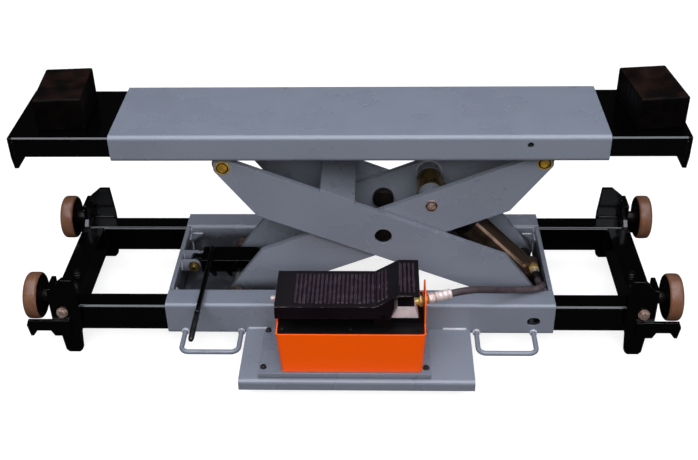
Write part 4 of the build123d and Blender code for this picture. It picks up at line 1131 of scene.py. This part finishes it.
# %% [markdown]
# ## Pump tray
#
# The tray is a bent sheet, and its lip stands up from a rounded bend that leaves a dark groove along the
# shelf. An L-shaped outline is extruded, and then the outside and the inside of the bend are rounded with
# their own radii.

# %% Pump tray
low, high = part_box("pump_tray")
tray_sheet = 2 * mm
outer_bend = 4.5
inner_bend = 2.5
lip_back = low.y + tray_sheet
tray_top = low.z + tray_sheet
tray_outline = [
    (high.y, low.z), (low.y, low.z), (low.y, high.z),
    (lip_back, high.z), (lip_back, tray_top), (high.y, tray_top),
]
tray = bmesh.new()
tray_end = tray.faces.new([tray.verts.new((low.x, y, z)) for y, z in tray_outline])
pushed = bmesh.ops.extrude_face_region(tray, geom=[tray_end])
far_corners = [part for part in pushed["geom"] if isinstance(part, bmesh.types.BMVert)]
bmesh.ops.translate(tray, verts=far_corners, vec=(high.x - low.x, 0, 0))
bmesh.ops.recalc_face_normals(tray, faces=tray.faces)
for y, z, radius in ((low.y, low.z, outer_bend), (lip_back, tray_top, inner_bend)):
    spot = Vector((0, y, z))
    bend = [
        edge for edge in tray.edges
        if all((Vector((0, corner.co.y, corner.co.z)) - spot).length < 0.1 * mm for corner in edge.verts)
    ]
    round_edges(tray, bend, radius, segments=6)
make_piece(soften(tray, 0.4), "pump_tray_sheet", "base", ["blue_grey_paint"],
           ["pump_tray"])

# %% [markdown]
# ## Weld beads
#
# The frame is welded, and the beads show as pale rippled lines under the paint. A bead here is a thin tube
# half sunk in the corner between two plates. Its radius grows and drops back at each ripple, as when a
# welder's puddles freeze one after another, and wanders a little along the way. A ring bead goes once round
# a bar.


# %% Bead helpers
bead_pitch = 1.1                            # from one ring of a bead to the next
end_taper = 0.55


def bead_line(bm, line, size):
    """A rippled tube along evenly spaced points, tapered at both ends."""
    radii = []
    for number in range(len(line)):
        swell = 0.78 + 0.11 * (number % 3) + 0.06 * math.sin(1.7 * number) + 0.05 * math.sin(0.31 * number)
        from_end = min(number, len(line) - 1 - number)
        radii.append(size * mm * swell * (end_taper if from_end == 0 else 1.0))
    tube(bm, line, radii, sides=8)


def seams(bm, places):
    """Straight beads, from a table of starts, ends and sizes in millimetres."""
    for start, end, size in places:
        first = at(*start)
        last = at(*end)
        count = max(4, round((last - first).length / (bead_pitch * mm)))
        bead_line(bm, [first.lerp(last, number / count) for number in range(count + 1)], size)


def ring_bead(bm, middle, along, radius, size):
    """A bead once round a bar."""
    stand = aim(middle, along)
    count = max(12, round(2 * math.pi * radius / bead_pitch))
    turns = [2 * math.pi * number / count for number in range(count + 1)]
    line = [stand @ Vector((radius * mm * math.cos(turn), radius * mm * math.sin(turn), 0)) for turn in turns]
    bead_line(bm, line, size)


def bead_piece(bm, name, body, finish):
    """Beads as one piece, shaded smooth over their ripples."""
    make_piece(bm, name, body, [finish], smooth_angle=60)


# %% Beads of the base frame
front_face = -153.1
shelf_beads = (                             # height, size and spans along X, over the shelf and under it
    (-54, 3.0, ((-205, -168), (152, 196))),
    (-61, 2.6, ((-190, -130), (-30, 30), (130, 190))),
)
base_beads = bmesh.new()
for x in (-322, -218, 214, 318):
    ring_bead(base_beads, at(x, -153, -62), (0, -1, 0), radius=5.6, size=2.2)
for z, size, spans in shelf_beads:
    seams(base_beads, [((start, front_face, z), (end, front_face, z), size) for start, end in spans])
for side in (-1, 1):
    outer_x = side * 354
    inner_x = side * 345.5
    for facing in (-1, 1):
        rail_y = facing * 102
        seams(base_beads, [
            ((outer_x, facing * 102.5, -62), (outer_x, facing * 102.5, -6), 1.8),
            ((inner_x, rail_y, -61), (inner_x, rail_y, -26), 2.4),
            ((inner_x, rail_y, -15), (inner_x, rail_y, -5), 2.4),
            ((side * 343, rail_y, -17), (side * 322, rail_y, -17), 2.0),
            ((inner_x, rail_y, -17), (inner_x, facing * 79.5, -17), 2.0),
        ])
for facing in (-1, 1):
    ring_bead(base_beads, at(322.9, facing * 102, -40.7), (0, 1, 0), radius=17.4, size=1.8)
    rail_y = facing * 102
    seams(base_beads, [((x, rail_y, -63), (x + 42, rail_y, -63), 2.4) for x in (-335, -255, -175)])
    seams(base_beads, [((-345.5, facing * y, -21), (-345.5, facing * y, -1), 1.5) for y in (12, 18)])
bead_piece(base_beads, "base_weld_beads", "base", "weld_paint")

# %% [markdown]
# The cross plate is welded to the outer arms, the push collars to the inner arms, and the lugs to the
# beam's underside. The arm's slope gives the places along its edge.

# %% Beads of the scissor and the beam
arm_slope = math.radians(22.24)
arm_beads = bmesh.new()
centre_x = 43.21
centre_z = 102.67


def on_arm(along, across, y):
    """A place on an outer arm, from its middle, in millimetres from the base datum."""
    x = centre_x - along * math.cos(arm_slope) + across * math.sin(arm_slope)
    return x, y, centre_z + along * math.sin(arm_slope) + across * math.cos(arm_slope)


seams(arm_beads, [(on_arm(77, 43.4, y), on_arm(138, 43.4, y), 2.4) for y in (-69.5, 69.5)])
bead_piece(arm_beads, "cross_plate_weld_beads", "outer_arms", "weld_paint")

collar_beads = bmesh.new()
push_place = cross_axis("push_collars")
for y in (-53.6, 53.6):
    ring_bead(collar_beads, push_place + Vector((0, y * mm, 0)), (0, 1, 0), radius=23, size=2.2)
bead_piece(collar_beads, "push_collar_weld_beads", "inner_arms", "weld_paint")

beam_beads = bmesh.new()
for y in (-52.2, -41.6, 41.6, 52.2):
    seams(beam_beads, [((306, y, 266.3), (340, y, 266.3), 1.5)])
bead_piece(beam_beads, "beam_lug_weld_beads", "lift_beam", "weld_paint")

# %% [markdown]
# The black carriages and beam extensions are welded the same way, and their beads are painted over in
# black.

# %% Beads of the carriages and extensions
for side_name, side, reach in carriages:
    black_beads = bmesh.new()
    plate_x = side * (reach - 51.5)
    tube_x = side * (reach - 82.5)
    for facing in (-1, 1):
        inner_y = facing * 106.5
        outer_y = facing * 148.5
        seams(black_beads, [
            ((side * (reach - 80), inner_y, -8), (side * (reach - 53), inner_y, -8), 2.2),
            ((tube_x, inner_y, -60), (tube_x, inner_y, -11), 2.2),
            ((plate_x, facing * 108, -6.6), (plate_x, facing * 146, -6.6), 2.4),
            ((side * (reach - 94), outer_y, -7.5), (side * (reach - 55), outer_y, -7.5), 2.6),
            ((plate_x, outer_y, -2), (plate_x, outer_y, 34), 2.2),
            ((side * (reach - 74), facing * 158.9, -29.2), (side * (reach - 52), facing * 158.9, -29.2), 1.8),
        ])
    body = f"{side_name}_carriage"
    bead_piece(black_beads, f"{body}_weld_beads", body, "black_weld")

for side_name, seam_x in (("left", -592), ("right", 553)):
    black_beads = bmesh.new()
    seams(black_beads, [((seam_x, -80, 271.6), (seam_x, 80, 271.6), 2.4)])
    seams(black_beads, [((seam_x, y, 278), (seam_x, y, 304), 1.5) for y in (-90.8, 90.8)])
    body = f"{side_name}_extension"
    bead_piece(black_beads, f"{body}_weld_beads", body, "black_weld")

# %% [markdown]
# ## Floor and light
#
# A plain pale floor and soft boxes. The big box hangs overhead and reaches far to the front, so that every
# rounded bend mirrors it as a light line. A key in front fills the upright faces, a small panel at the
# right draws the light line along the cylinder, and a low strip lights the back. Key and strip are kept out
# of mirrored light, because a level top seen from low down would mirror them as a white sheet. Glossy black
# needs something dark to mirror, so a studio stands black flags round it. Here the Light Path node does
# that: the camera sees a pale floor and world, and mirrored or bounced light sees darker ones.

# %% Floor
floor_half = 12.0
floor_glow = 0.80                           # seen by the camera alone
floor_shade = (0.012, 0.012, 0.012)         # seen by all other rays
floor_mesh = bmesh.new()
bmesh.ops.create_grid(floor_mesh, x_segments=1, y_segments=1, size=floor_half)
floor_data = bpy.data.meshes.new("floor")
floor_mesh.to_mesh(floor_data)
floor_mesh.free()
floor = bpy.data.objects.new("floor", floor_data)
bpy.context.scene.collection.objects.link(floor)
floor_material, floor_tree, floor_shader = new_material(
    "pale_floor", Roughness=0.9, Specular_IOR_Level=0.0, Emission_Color=(1, 1, 1, 1)
)
floor_cloud = noise(floor_tree, add(floor_tree, "TexCoord").outputs["Object"], 0.9, 3.0)
floor_pale = blend_colour(floor_tree, floor_cloud, (0.33, 0.33, 0.33), (0.36, 0.36, 0.36))
floor_seen = add(floor_tree, "LightPath").outputs["Is Camera Ray"]
floor_colour = blend_colour(floor_tree, floor_seen, floor_shade, floor_pale)
feed(floor_tree, floor_colour, floor_shader.inputs["Base Color"])
seen_glow = sum_up(floor_tree, "MULTIPLY", floor_seen, floor_glow)
feed(floor_tree, seen_glow, floor_shader.inputs["Emission Strength"])
floor_data.materials.append(floor_material)
print("floor:", 2 * floor_half, "m wide")

# %% World and lights
world_shade = (0.010, 0.0103, 0.011)        # seen by all rays but the camera's
world = bpy.data.worlds.new("pale_world")
bpy.context.scene.world = world
world.use_nodes = True
world_tree = world.node_tree
world_seen = add(world_tree, "LightPath").outputs["Is Camera Ray"]
world_colour = blend_colour(world_tree, world_seen, world_shade, (1.0, 1.0, 1.0))
feed(world_tree, world_colour, world_tree.nodes["Background"].inputs["Color"])
bpy.context.scene.view_settings.view_transform = "Standard"


def soft_box(name, place, target, width, height, power, colour, mirrored):
    """A rectangular light that looks at a target. Glossy faces show it only if it is to be mirrored."""
    lamp = bpy.data.lights.new(name, "AREA")
    lamp.shape = "RECTANGLE"
    lamp.size = width
    lamp.size_y = height
    lamp.energy = power
    lamp.color = colour
    holder = bpy.data.objects.new(name, lamp)
    holder.location = place
    holder.rotation_euler = (Vector(target) - Vector(place)).to_track_quat("-Z", "Y").to_euler()
    holder.visible_camera = False
    holder.visible_glossy = mirrored
    bpy.context.scene.collection.objects.link(holder)


soft_box(
    "overhead_box", place=(0, -1.5, 2.7), target=(0, -1.5, 0), width=3.6, height=5.0, power=142,
    colour=(0.93, 0.97, 1.06), mirrored=True,
)
soft_box(
    "front_key", place=(0, -3.1, 2.6), target=(0, 0, 0.3), width=3.6, height=1.8, power=116,
    colour=(1.0, 0.98, 0.95), mirrored=False,
)
soft_box(
    "side_panel", place=(3.0, -2.0, 0.9), target=(0, 0, 0.2), width=1.2, height=1.4, power=8,
    colour=(1.0, 0.96, 0.92), mirrored=True,
)
soft_box(
    "back_strip", place=(0, 4.2, 0.5), target=(0, 0, 0.3), width=4.0, height=0.8, power=40,
    colour=(1.0, 0.98, 0.94), mirrored=False,
)

# %% [markdown]
# ## Finishes on the CAD pieces
#
# The record names a slot for each CAD node. Most slots are one finish here, and a few nodes differ from
# their slot's usual look: the treadle is a rough casting, its bracket and the cover are dull, barrel, ram
# and lower rollers are dark with oil, gland and lower pivot shaft are dark steel, and the ram eye is smoky.
# The hose's slot has no finish of its own name, and its CAD node is replaced, so it takes a spare.

# %% Finishes on the CAD pieces
own_finish = {
    "treadle": "cast_black",
    "treadle_bracket": "cover_black",
    "pump_cover": "cover_black",
    "cylinder_barrel": "oiled_steel",
    "cylinder_gland": "dark_steel",
    "lower_pivot_shaft": "dark_steel",
    "lower_rollers": "oiled_nylon",
    "ram": "oiled_steel",
    "ram_eye": "smoked_zinc",
}
spare_finish = "satin_black"
slot_of = {part["node"]: part["material_slot"] for part in frame["record"]["subparts"]}
for node_name, node in frame["nodes"].items():
    finish = own_finish.get(node_name, slot_of[node_name])
    material = finishes.get(finish, finishes[spare_finish])
    if not node.data.materials:
        node.data.materials.append(material)
    for holder in node.material_slots:
        holder.material = material
print("finishes on CAD nodes:", len(slot_of))
